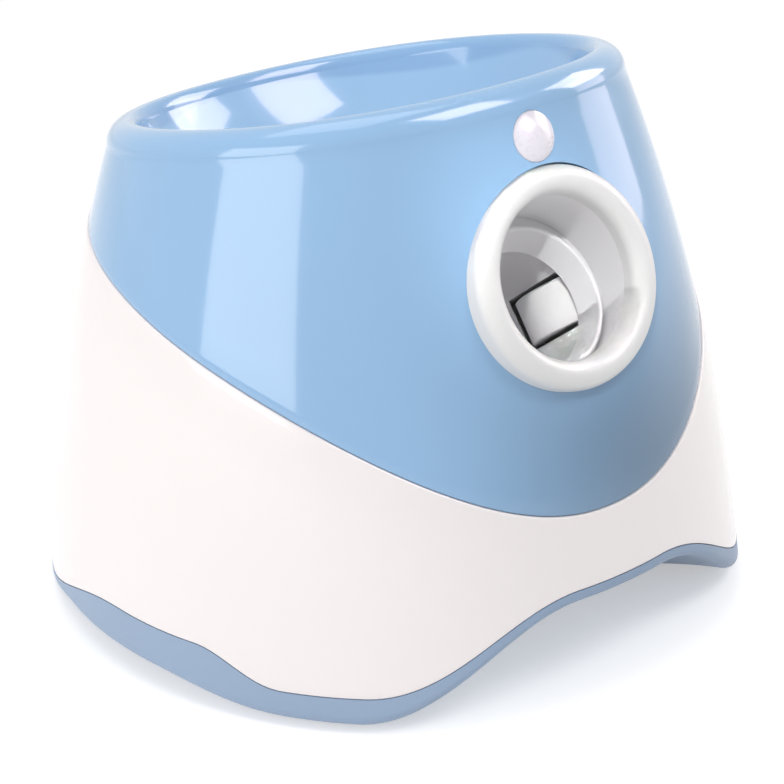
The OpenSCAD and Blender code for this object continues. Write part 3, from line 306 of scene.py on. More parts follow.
def placed(at, tilt):
    """A frame whose local z points forward and tilt up, local y up across it."""
    return Matrix.Translation(at) @ Matrix.Rotation(pi / 2 - tilt, 4, "X")


def launch_frame(o):
    return placed(Vector((0, -o.muzzle_y, o.muzzle_z)), o.launch_elev)


def outlet_frame(o, casing):
    return placed(Vector((0, casing.front_y(o.outlet_z) + RING_SINK, o.outlet_z)), o.outlet_tilt)


def sensor_frame(o, casing):
    lean = atan(tan(casing.s.front_lean) + 2 * casing.front_bow * o.sensor_z)
    return placed(Vector((0, casing.front_y(o.sensor_z), o.sensor_z)), lean)


def rear_frame(casing, z):
    """A frame on the back wall: local z points out of it, local y up along it."""
    lean = atan(tan(casing.s.rear_lean) + 2 * casing.rear_bow * z)
    return (Matrix.Translation((0, casing.rear_y(z), z))
            @ Matrix.Rotation(lean - pi / 2, 4, "X") @ Matrix.Rotation(pi, 4, "Z"))


def ring_of(sides, point):
    return [point(2 * pi * i / sides) for i in range(sides)]


def circle(at, depth, up, r, sides=128):
    """Points of a circle across a frame, behind its origin and up from its axis."""
    return ring_of(sides, lambda t: at @ Vector((r * sin(t), up - r * cos(t), -depth)))


def arc(cx, cz, r, start, end, steps):
    """Points of a circular arc in a profile, angles in degrees."""
    turns = [radians(mix(start, end, k / steps)) for k in range(steps + 1)]
    return [(cx + r * cos(t), cz + r * sin(t)) for t in turns]


# ---- meshes ----

def finish_mesh(name, bm, sharp=SHARP):
    bmesh.ops.recalc_face_normals(bm, faces=bm.faces)
    mesh = bpy.data.meshes.new(name)
    bm.to_mesh(mesh)
    bm.free()
    piece = bpy.data.objects.new(name, mesh)
    bpy.context.scene.collection.objects.link(piece)
    shade(piece, sharp)
    return piece


def shade(piece, sharp=SHARP):
    mesh = piece.data
    mesh.polygons.foreach_set("use_smooth", [True] * len(mesh.polygons))
    mesh.set_sharp_from_angle(angle=radians(sharp))


def loft(name, rings, closed=True):
    """Quads between rings. A closed loft joins its last ring to its first, an open one is capped."""
    bm = bmesh.new()
    rows = [[bm.verts.new(p) for p in ring] for ring in rings]
    count = len(rows[0])
    pairs = list(zip(rows, rows[1:]))
    if closed:
        pairs.append((rows[-1], rows[0]))
    for low, high in pairs:
        for j in range(count):
            k = (j + 1) % count
            bm.faces.new((low[j], low[k], high[k], high[j]))
    if not closed:
        bm.faces.new(rows[0][::-1])
        bm.faces.new(rows[-1])
    return finish_mesh(name, bm)


def revolve(name, profile, at, sides, sharp=SHARP):
    """A profile of (radius, height) points turned about local z. Points on the axis close it with a fan."""
    bm = bmesh.new()
    rows = []
    for r, z in profile:
        if r < ON_AXIS:
            rows.append([bm.verts.new(at @ Vector((0, 0, z)))])
        else:
            rows.append(ring_of(sides, lambda t: bm.verts.new(at @ Vector((r * cos(t), r * sin(t), z)))))
    ends_open = len(rows[0]) > 1 and len(rows[-1]) > 1
    pairs = list(zip(rows, rows[1:])) + ([(rows[-1], rows[0])] if ends_open else [])
    for low, high in pairs:
        for j in range(sides):
            k = (j + 1) % sides
            corners = [low[j % len(low)], low[k % len(low)], high[k % len(high)], high[j % len(high)]]
            bm.faces.new(list(dict.fromkeys(corners)))
    return finish_mesh(name, bm, sharp)


def rounded_block(name, corners, at, low, high, edge, steps=4):
    """A plate with the given outline between two heights, its upper edge rounded."""
    bm = bmesh.new()
    verts = [bm.verts.new(at @ Vector((x, y, low))) for x, y in corners]
    face = bm.faces.new(verts)
    out = bmesh.ops.extrude_face_region(bm, geom=[face])
    top = [v for v in out["geom"] if isinstance(v, bmesh.types.BMVert)]
    bmesh.ops.translate(bm, verts=top, vec=at.to_3x3() @ Vector((0, 0, high - low)))
    rim = [e for e in bm.edges if e.verts[0] in top and e.verts[1] in top]
    if edge > 0:
        bmesh.ops.bevel(bm, geom=rim, offset=edge, segments=steps, profile=0.5, affect="EDGES")
    return finish_mesh(name, bm)


def rounded_rectangle(w, h, r, steps=10):
    points = []
    for cx, cy, start in ((w / 2 - r, h / 2 - r, 0), (r - w / 2, h / 2 - r, 90),
                          (r - w / 2, r - h / 2, 180), (w / 2 - r, r - h / 2, 270)):
        points += arc(cx, cy, r, start, start + 90, steps)
    return points


def carve(piece, cutters):
    """Takes the cutters away from the piece and deletes them."""
    for cutter in cutters:
        step = piece.modifiers.new("cut", "BOOLEAN")
        step.operation = "DIFFERENCE"
        step.solver = "EXACT"
        step.object = cutter
    bpy.context.view_layer.update()
    done = bpy.data.meshes.new_from_object(piece.evaluated_get(bpy.context.evaluated_depsgraph_get()))
    piece.modifiers.clear()
    piece.data = done
    for cutter in cutters:
        bpy.data.objects.remove(cutter)
    shade(piece)


def cylinder_cutter(at, r, low, high, sides):
    return revolve("cutter", [(0, low), (r, low), (r, high), (0, high)], at, sides)


# ---- finishes ----

class Value:
    """A number socket of a shader that can stand in Python expressions."""

    def __init__(self, finish, socket):
        self.finish = finish
        self.socket = socket

    def joined(kind, swapped=False):
        """A method that adds a Math node of this kind for the socket and another value."""
        def method(self, other):
            pair = (other, self) if swapped else (self, other)
            return self.finish.add("ShaderNodeMath", {"operation": kind}, dict(enumerate(pair)))
        return method

    __add__, __radd__ = joined("ADD"), joined("ADD", True)
    __sub__, __rsub__ = joined("SUBTRACT"), joined("SUBTRACT", True)
    __mul__, __rmul__ = joined("MULTIPLY"), joined("MULTIPLY", True)
    __truediv__, __pow__ = joined("DIVIDE"), joined("POWER")
    either = joined("MAXIMUM")


class Finish:
    """One procedural material, built from its Principled shader outwards."""

    def __init__(self, name):
        self.material = bpy.data.materials.new("launcher_" + name)
        self.material.use_nodes = True
        self.start(self.material.node_tree)
        self.place = self.add("ShaderNodeTexCoord", out="Object")

    @classmethod
    def of(cls, tree):
        """The same methods on another tree, such as the world's."""
        finish = cls.__new__(cls)
        finish.start(tree)
        return finish

    def start(self, tree):
        self.tree = tree
        tree.nodes.clear()

    def add(self, kind, settings=None, inputs=None, out=0):
        node = self.tree.nodes.new(kind)
        for key, value in (settings or {}).items():
            setattr(node, key, value)
        for key, value in (inputs or {}).items():
            self.feed(node.inputs[key], value)
        return Value(self, node.outputs[out]) if node.outputs else None

    def feed(self, socket, value):
        if isinstance(value, Value):
            self.tree.links.new(value.socket, socket)
        elif socket.type == "RGBA":
            socket.default_value = (*value, 1.0)
        else:
            socket.default_value = value

    def noise(self, scale, detail=2.0, rough=0.5, stretch=None):
        place = self.place
        if stretch:
            place = self.add("ShaderNodeMapping", None, {"Vector": place, "Scale": stretch})
        return self.add("ShaderNodeTexNoise", None,
                        {"Vector": place, "Scale": scale, "Detail": detail, "Roughness": rough})

    def blend(self, factor, a, b):
        return self.add("ShaderNodeMix", {"data_type": "RGBA", "clamp_factor": True},
                        {0: factor, 6: a, 7: b}, out=2)

    def where(self):
        """The place on the object along each axis, in metres."""
        x = self.add("ShaderNodeSeparateXYZ", None, {"Vector": self.place})
        return [Value(self, socket) for socket in x.socket.node.outputs]

    def painted_shade_mask(self):
        """Mask of a painted shade: 0 over most of the casing, rising to 1 at its lower front right."""
        x, y, z = self.where()
        below, right, front = 0.195 - z, x + 0.085, 0.02 - y
        return self.ramp(below, 0.11) * self.ramp(right, 0.12) * self.ramp(front, 0.09)

    def painted_sheen_mask(self):
        """Mask of the painted sheen: 1 inside the hopper's mouth and 0 outside it, across a narrow band at its
        edge.
        """
        x, y, _ = self.where()
        casing = Casing(bpy.context.scene.launcher_sizes)
        side, front, back = (casing.lip(radians(a), LIP_END) for a in (90, 0, 180))
        middle, half = (front.y + back.y) / 2, abs(front.y - back.y) / 2
        reach = ((y - middle) / half) ** 2 + (x / abs(side.x)) ** 2
        edge, band = 1.02, 0.03
        return self.ramp(edge - reach, band)

    def ramp(self, value, span):
        """Runs smoothly from 0 to 1 while the value goes from 0 to span."""
        return self.add("ShaderNodeMapRange", {"interpolation_type": "SMOOTHSTEP"},
                        {"Value": value, "From Max": span})

    def relief(self, height, strength, distance):
        return self.add("ShaderNodeBump", None,
                        {"Height": height, "Strength": strength, "Distance": distance})

    def drift_and_painted_shade(self, rgb, scale, depth, low=1.0):
        """The colour with a slow drift of this depth, and a painted shade that takes it down to a share low at
        the lower front right.
        """
        even = self.blend(self.noise(scale, 3.0), shaded(rgb, 1 - depth), shaded(rgb, 1 + depth))
        # Below a low of 1 the colour is darkened towards the lower front right: painted shade.
        return self.blend(self.painted_shade_mask(), even, shaded(rgb, low)) if low < 1.0 else even

    def principled(self, **inputs):
        named = {key.replace("_", " "): value for key, value in inputs.items()}
        shader = self.add("ShaderNodeBsdfPrincipled", None, named)
        self.add("ShaderNodeOutputMaterial", None, {"Surface": shader})
        return self.material


def shaded(rgb, factor):
    return tuple(min(max(c * factor, 0.0), 1.0) for c in rgb)


def glossy_plastic(slot, rgb, rough=0.10, coat=0.5, depth=0.05, low=1.0, inside=None):
    """Polished moulding: a slight drift of colour, a faint haze, a painted shade towards the lower front right
    when low is below 1, and a lighter colour inside the hopper, a painted sheen, when one is given.
    """
    f = Finish(slot)
    even = f.drift_and_painted_shade(rgb, 9.0, depth, low)
    # The lighter colour inside the hopper is a painted sheen.
    if inside:
        even = f.blend(f.painted_sheen_mask(), even, inside)
    return f.principled(
        Base_Color=even,
        Roughness=rough + 0.07 * f.noise(38.0, 4.0, 0.6),
        Coat_Weight=coat, Coat_Roughness=0.04, IOR=1.46,
        Normal=f.relief(f.noise(260.0, 1.0), strength=0.05, distance=0.0004))


def satin_plastic(slot, rgb, rough=0.40, grain=0.12, depth=0.05, low=1.0):
    """Fine spark-eroded moulding: soft sheen, small even grain, and a painted shade towards the lower front
    right when low is below 1.
    """
    f = Finish(slot)
    return f.principled(
        Base_Color=f.drift_and_painted_shade(rgb, 14.0, depth, low),
        Roughness=rough + 0.10 * f.noise(60.0, 3.0),
        IOR=1.48, Normal=f.relief(f.noise(1400.0), strength=grain, distance=0.0002))


def milky_lens(slot, rgb):
    """Translucent dome with a fine frosted inside."""
    f = Finish(slot)
    return f.principled(
        Base_Color=f.blend(f.noise(120.0), shaded(rgb, 0.94), shaded(rgb, 1.05)),
        Roughness=0.24 + 0.08 * f.noise(400.0),
        Subsurface_Weight=0.35, Subsurface_Radius=(0.004, 0.004, 0.004), Subsurface_Scale=1.0,
        Coat_Weight=0.4, Coat_Roughness=0.05,
        Normal=f.relief(f.noise(700.0, 1.0), strength=0.08, distance=0.0002))


def soft_rubber(slot, rgb, rough=0.48):
    """Soft tread: matt, with fine marks round its edge from the balls."""
    f = Finish(slot)
    scuff = f.noise(70.0, 4.0, 0.65)
    return f.principled(
        Base_Color=f.blend(scuff ** 2.0, rgb, shaded(rgb, 0.86)),
        Roughness=rough + 0.14 * scuff,
        Specular_IOR_Level=0.4, Normal=f.relief(f.noise(1100.0), strength=0.16, distance=0.0003))


def steel(slot, rgb, rough=0.28, lines=(1.0, 1.0, 40.0)):
    """Drawn or turned metal with fine lines."""
    f = Finish(slot)
    streak = f.noise(160.0, 3.0, 0.6, stretch=lines)
    return f.principled(
        Base_Color=f.blend(streak, shaded(rgb, 0.88), shaded(rgb, 1.10)),
        Metallic=1.0, Roughness=rough + 0.16 * streak,
        Normal=f.relief(streak, strength=0.10, distance=0.0002))


def circuit_board(slot, rgb):
    """Solder mask with paler tracks."""
    f = Finish(slot)
    cells = f.add("ShaderNodeTexVoronoi", {"feature": "DISTANCE_TO_EDGE"},
                  {"Vector": f.place, "Scale": 240.0})
    tracks = f.add("ShaderNodeMath", {"operation": "LESS_THAN"}, {0: cells, 1: 0.06})
    return f.principled(
        Base_Color=f.blend(tracks, rgb, shaded(rgb, 1.9)),
        Roughness=0.32 + 0.1 * f.noise(300.0), Coat_Weight=0.3,
        Normal=f.relief(tracks, strength=0.2, distance=0.0002))


def make_finishes():
    """Every finish by its slot, from a table of its maker, its colour and its settings."""
    c = bpy.context.scene.launcher_colours
    table = {
        # low darkens the cover towards its lower front right, a painted shade; inside is the hopper's lighter
        # blue, a painted sheen
        "cover_blue": (glossy_plastic, c.cover, dict(coat=0.45, low=0.44, inside=tuple(c.hopper))),
        "shell_white": (glossy_plastic, c.shell, dict(rough=0.16, coat=0.3, depth=0.012)),
        # low darkens the base towards its lower front right, a painted shade
        "base_blue": (satin_plastic, c.base, dict(low=0.84)),
        "ring_white": (satin_plastic, c.ring, dict(rough=0.30, grain=0.05, depth=0.01)),
        "inner_white": (satin_plastic, c.inside, dict(rough=0.34, grain=0.06, depth=0.02)),
        "lens": (milky_lens, (0.78, 0.745, 0.82), {}),
        "wheel_tread": (soft_rubber, (0.93, 0.92, 0.92), {}),
        "wheel_hub": (satin_plastic, (0.62, 0.64, 0.66), {}),
        "motor_steel": (steel, (0.60, 0.61, 0.62), {}),
        "shaft_steel": (steel, (0.55, 0.56, 0.58), dict(rough=0.18)),
        "bush": (steel, (0.60, 0.43, 0.20), dict(rough=0.34)),
        "board_green": (circuit_board, (0.05, 0.22, 0.12), {}),
        "screw_steel": (steel, (0.50, 0.52, 0.54), dict(rough=0.30, lines=(8.0, 8.0, 8.0))),
        "gear_white": (satin_plastic, (0.86, 0.85, 0.80), dict(rough=0.36)),
        "rotor_orange": (satin_plastic, (0.72, 0.28, 0.08), {}),
        "button_blue": (satin_plastic, (0.27, 0.47, 0.72), dict(rough=0.34)),
        "indicator": (glossy_plastic, (0.80, 0.90, 1.0), dict(rough=0.06)),
        "panel_grey": (satin_plastic, (0.62, 0.65, 0.69), dict(rough=0.36)),
        "jack_black": (satin_plastic, (0.03, 0.03, 0.035), dict(rough=0.38)),
        "battery_wrap": (glossy_plastic, (0.04, 0.15, 0.42), dict(rough=0.22)),
        "foot_rubber": (soft_rubber, (0.06, 0.065, 0.07), dict(rough=0.66)),
        "stand_grey": (satin_plastic, (0.52, 0.55, 0.58), {}),
    }
    return {slot: make(slot, rgb, **settings) for slot, (make, rgb, settings) in table.items()}


FINISHES = {}       # the finishes by slot: the frame's own plain materials have the slots' names


def paint(piece, slot):
    piece.data.materials.clear()
    piece.data.materials.append(FINISHES[slot])


def dress(piece, slot, *nodes, body="housing"):
    """Gives a new piece its finish, its body and the nodes that it stands for."""
    paint(piece, slot)
    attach(piece, body)
    if nodes:
        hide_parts(*nodes)


# ---- operators ----

class PieceOperator:
    """What the operators share: reading the settings, and rings of points on the casing's wall."""
    bl_options = {"REGISTER", "UNDO"}

    def execute(self, context):
        scene = context.scene
        self.sizes = scene.launcher_sizes
        self.outlet = scene.launcher_outlet
        self.rear = scene.launcher_rear
        self.casing = Casing(self.sizes)
        self.sides = scene.launcher_stage.sides
        self.build()
        return {"FINISHED"}

    def ring(self, point):
        return ring_of(self.sides, point)

    def row(self, height, inset=0.0):
        """A ring on the wall, at the height that a function gives for each angle."""
        return self.ring(lambda a: self.casing.wall(a, height(a), inset))

    def rows(self, low, high, steps, count, inset=0.0):
        """Rings on the wall at these of the count steps between two such heights."""
        return [self.row(lambda a: mix(low(a), high(a), k / count), inset) for k in steps]

    def rounded(self, height, radius, turns, inset=0.0, up=1):
        """Rings round an edge, from turn 0 in its face to turn 90 on the wall; up is -1 for an upper edge."""
        return [self.ring(lambda a: self.casing.wall(a, height(a) + up * radius(a) * (1 - cos(t)),
                                                     inset + radius(a) * (1 - sin(t))))
                for t in map(radians, turns)]


class LAUNCHER_OT_finishes(PieceOperator, Operator):
    """Makes every finish and gives the carried-over nodes theirs"""
    bl_idname = "launcher.finishes"
    bl_label = "Finishes"

    def build(self):
        FINISHES.update(make_finishes())
        slots = {row["node"]: row["material_slot"] for row in frame["record"]["subparts"]}
        for name, node in frame["nodes"].items():
            paint(node, slots[name])


class LAUNCHER_OT_cover(PieceOperator, Operator):
    """Builds the glossy cover with its rounded rim, the outlet's hole and the sensor's hole"""
    bl_idname = "launcher.cover"
    bl_label = "Upper cover"

    def build(self):
        s, c, o = self.sizes, self.casing, self.outlet
        edge, ring_gap, lens_gap = 0.7 * MM, 0.04 * MM, 0.15 * MM
        outer, inner = 26, 8

        def foot(a):
            return c.seam_z(a) + s.seam_gap

        rings = self.rounded(foot, lambda a: edge, range(0, 91, 22), s.cover_inset)
        rings += self.rows(lambda a: foot(a) + edge, c.lip_z, range(1, outer + 1), outer, s.cover_inset)
        rings += [self.ring(lambda a: c.lip(a, q)) for q in range(6, LIP_END + 1, 6)]
        end_up = s.lip_r * sin(radians(LIP_END))
        under_end = 180 - degrees(asin(end_up / (s.lip_r - s.wall)))
        rings += [self.ring(lambda a: c.lip(a, q, s.wall)) for q in (under_end, 112, 90, 60, 30, 0)]
        rings += self.rows(foot, c.lip_z, reversed(range(inner)), inner, s.wall)
        cover = loft("upper_cover_shell", rings)
        carve(cover, [
            cylinder_cutter(outlet_frame(o, c), o.outlet_r + ring_gap, -60 * MM, 40 * MM, 192),
            cylinder_cutter(sensor_frame(o, c), o.sensor_r + lens_gap, -12 * MM, 18 * MM, 96)])
        dress(cover, "cover_blue", "upper_cover")


class LAUNCHER_OT_hopper(PieceOperator, Operator):
    """Builds the dish that leads the balls from the rim to the throat"""
    bl_idname = "launcher.hopper"
    bl_label = "Hopper dish"

    def build(self):
        s, c, o = self.sizes, self.casing, self.outlet
        rest_y = -o.muzzle_y + o.rest_s * cos(o.launch_elev)
        end = radians(LIP_END)
        front_bend, back_bend, bend_run = 2, 5, 75      # how soon the dish turns level, and degrees between
        even = 0.25                                     # share of the fall that is the same all the way
        rows, crowding = 40, 1.4                        # rows of points, closer together at the rim

        def dish(a, t, out):
            top = c.wall(a, c.lip_z(a), s.cover_inset + s.lip_r - s.lip_in_r * cos(end) - out)
            top.z += s.lip_r * sin(end) - DISH_GAP
            r = s.throat_r + out
            low = Vector((r * sin(a), rest_y - r * cos(a), s.throat_z))
            bend = mix(front_bend, back_bend, ease(fold(a) / bend_run))
            fall = mix(1 - (1 - t) ** bend, t, even)
            return Vector((mix(top.x, low.x, t), mix(top.y, low.y, t),
                           mix(top.z, low.z, fall) - (out if t > 0 else 0)))

        places = [(k / rows) ** crowding for k in range(rows + 1)]
        outer = [self.ring(lambda a: dish(a, t, s.dish_t)) for t in reversed(places)]
        inner = [self.ring(lambda a: dish(a, t, 0.0)) for t in places]
        dress(loft("hopper_dish", outer + inner), "cover_blue", "hopper_funnel")


class LAUNCHER_OT_shell(PieceOperator, Operator):
    """Builds the white shell between its two wave-shaped edges"""
    bl_idname = "launcher.shell"
    bl_label = "Lower shell"

    def build(self):
        s, c, r = self.sizes, self.casing, self.rear
        edge, turns = 0.6 * MM, (0, 30, 60, 90)
        outer, inner = 40, 7
        tongue_in, tongue_out = s.wall + 0.2 * MM, s.wall + 2.0 * MM
        tongue_up, tongue_down, tongue_foot = 4 * MM, -3 * MM, -6 * MM
        rings = self.rounded(c.white_z, lambda a: edge, turns)
        rings += self.rows(lambda a: c.white_z(a) + edge, lambda a: c.seam_z(a) - edge,
                           range(1, outer), outer)
        rings += self.rounded(c.seam_z, lambda a: edge, reversed(turns), up=-1)
        for up, inset in ((0, tongue_in), (tongue_up, tongue_in), (tongue_up, tongue_out),
                          (tongue_down, tongue_out)):
            rings.append(self.row(lambda a: c.seam_z(a) + up, inset))
        rings += self.rows(c.white_z, lambda a: c.seam_z(a) + tongue_foot,
                           reversed(range(inner + 1)), inner, s.wall)
        shell = loft("lower_shell_body", rings)
        fit, through = 0.2 * MM, 20 * MM
        holes = ((r.panel_z, r.panel_w, r.panel_h, r.panel_corner + fit, 10),
                 (r.jack_z, r.jack_w, r.jack_w, 0.5 * MM, 3))
        carve(shell, [
            rounded_block("cutter", rounded_rectangle(wide + 2 * fit, high + 2 * fit, corner, steps),
                          rear_frame(c, z), -through, through, 0.0)
            for z, wide, high, corner, steps in holes])
        dress(shell, "shell_white", "lower_shell")


class LAUNCHER_OT_base(PieceOperator, Operator):
    """Builds the base with the arch at the front and the lifted edge along the sides"""
    bl_idname = "launcher.base"
    bl_label = "Base tray"

    def build(self):
        s, c = self.sizes, self.casing
        shares = [0.1, 0.25, 0.5] + [0.5 + 0.025 * k for k in range(1, 19)]
        gap, floor_t, rows = 0.25 * MM, 3 * MM, 8
        rings = [self.ring(lambda a: c.under(a, f)) for f in shares]
        rings += self.rounded(c.base_z, c.edge_r, range(0, 91, 10))
        rings += self.rows(lambda a: c.base_z(a) + c.edge_r(a), lambda a: c.white_z(a) - gap,
                           range(1, rows + 1), rows)
        for height, up, inset in ((c.white_z, -gap, 0.0), (c.white_z, 4 * MM, 0.2 * MM),
                                  (c.white_z, 4 * MM, 2 * MM), (c.base_z, 5 * MM, 3.5 * MM)):
            rings.append(self.row(lambda a: height(a) + up, s.wall + inset))
        rings += [self.ring(lambda a: c.under(a, f, floor_t)) for f in reversed(shares)]
        dress(loft("base_tray_body", rings, closed=False), "base_blue", "base_tray")


class LAUNCHER_OT_outlet(PieceOperator, Operator):
    """Builds the outlet ring, the liner behind it and the nozzle with its flange"""
    bl_idname = "launcher.outlet"
    bl_label = "Outlet"

    def build(self):
        self.outlet_ring()
        self.liner()
        self.nozzle()

    def outlet_ring(self):
        o = self.outlet
        wall, sunk, mouth_z, skirt_z = 2.4 * MM, 0.4 * MM, -4 * MM, 2 * MM - o.ring_depth
        profile = [(o.outlet_r, -o.ring_depth)]
        profile += arc((o.outlet_r + o.mouth_r) / 2, -sunk, (o.outlet_r - o.mouth_r) / 2, 0, 180, 32)
        profile += [(o.mouth_r, mouth_z), (o.mouth_r + wall, mouth_z),
                    (o.outlet_r - wall, skirt_z), (o.outlet_r - wall, -o.ring_depth)]
        ring = revolve("outlet_ring_body", profile, outlet_frame(o, self.casing), 192, 50)
        dress(ring, "ring_white", "outlet_ring")

    def liner(self):
        o = self.outlet
        wall, front_depth, front_r = 1.8 * MM, 4.3 * MM, o.mouth_r + 0.2 * MM
        back_depth, back_r, rows = 4 * MM, 34.5 * MM, 14
        outlet, launch = outlet_frame(o, self.casing), launch_frame(o)

        def row(share, out):
            front = circle(outlet, front_depth, 0.0, front_r + out)
            back = circle(launch, back_depth, FLANGE_UP, back_r + out)
            return [mix(p, q, share) for p, q in zip(front, back)]

        shares = [k / rows for k in range(rows + 1)]
        rings = [row(share, wall) for share in reversed(shares)] + [row(share, 0.0) for share in shares]
        dress(loft("outlet_liner", rings), "inner_white", "outlet_sleeve")

    def nozzle(self):
        o = self.outlet
        launch = launch_frame(o)
        throat, front_in, lip, up = 26 * MM, o.nozzle_r - 2.3 * MM, 1 * MM, 2 * MM

        def row(share, r):
            return circle(launch, o.nozzle_len * share, up * (1 - share), r)

        turns = [radians(q) for q in range(0, 91, 15)]
        rings = [row(1 - k / 8, mix(o.channel_out, o.nozzle_r, k / 8)) for k in range(8)]
        rings += [row(lip * (1 - sin(t)) / o.nozzle_len, o.nozzle_r - lip * (1 - cos(t))) for t in turns]
        rings += [row(lip * (1 - cos(t)) / o.nozzle_len, front_in + lip * (1 - sin(t))) for t in turns]
        rings += [row(k / 10, mix(front_in, throat, k / 10)) for k in range(2, 11)]
        dress(loft("nozzle_body", rings), "inner_white", "nozzle")
        top, foot, outer_r = 4.2 * MM, 6.2 * MM, 36.3 * MM
        inner_up, inner_r = 0.6 * up, o.channel_out - 1 * MM
        rings = [circle(launch, depth, rise, r) for depth, rise, r in (
            (foot, FLANGE_UP, outer_r), (top, FLANGE_UP, outer_r), (top, inner_up, inner_r),
            (foot, inner_up, inner_r))]
        dress(loft("nozzle_flange", rings), "inner_white", "nozzle")


class LAUNCHER_OT_sensor(PieceOperator, Operator):
    """Builds the milky dome of the motion sensor"""
    bl_idname = "launcher.sensor"
    bl_label = "Motion sensor"

    def build(self):
        o, s = self.outlet, self.sizes
        r = o.sensor_r
        ball = (r * r + o.dome_h ** 2) / (2 * o.dome_h)
        wall, flange_w, flange_t, steps = 1.8 * MM, 1.2 * MM, 1.5 * MM, 24
        back, foot = -s.wall - 1.2 * MM, -9 * MM
        across = [r * sin(radians(90 * k / steps)) for k in range(steps + 1)]
        profile = [(x, sqrt(ball ** 2 - x ** 2) - ball + o.dome_h - s.cover_inset) for x in across]
        profile += [(r, back), (r + flange_w, back), (r + flange_w, back - flange_t), (r, back - flange_t),
                    (r, foot), (r - wall, foot), (r - wall, -1.5 * MM), (0, 1 * MM)]
        dress(revolve("sensor_dome", profile, sensor_frame(o, self.casing), 96), "lens", "sensor_lens")


class LAUNCHER_OT_wheels(PieceOperator, Operator):
    """Builds the soft treads of the two launch wheels"""
    bl_idname = "launcher.wheels"
    bl_label = "Launch wheels"

    def build(self):
        o = self.outlet
        half, edge = o.wheel_w / 2, 1.2 * MM
        inner = o.wheel_r - o.tread_t
        profile = [(inner, -half)]
        profile += arc(o.wheel_r - edge, edge - half, edge, -90, 0, 6)
        profile += arc(o.wheel_r - edge, half - edge, edge, 0, 90, 6)
        profile += [(inner, half)]
        for side, label in ((-1, "left"), (1, "right")):
            at = (launch_frame(o) @ Matrix.Translation((side * o.wheel_x, 0, -o.wheel_s))
                  @ Matrix.Rotation(-pi / 2, 4, "X"))
            tread = revolve(label + "_tread", profile, at, 144)
            dress(tread, "wheel_tread", label + "_wheel_tread", body=label + "_wheel")


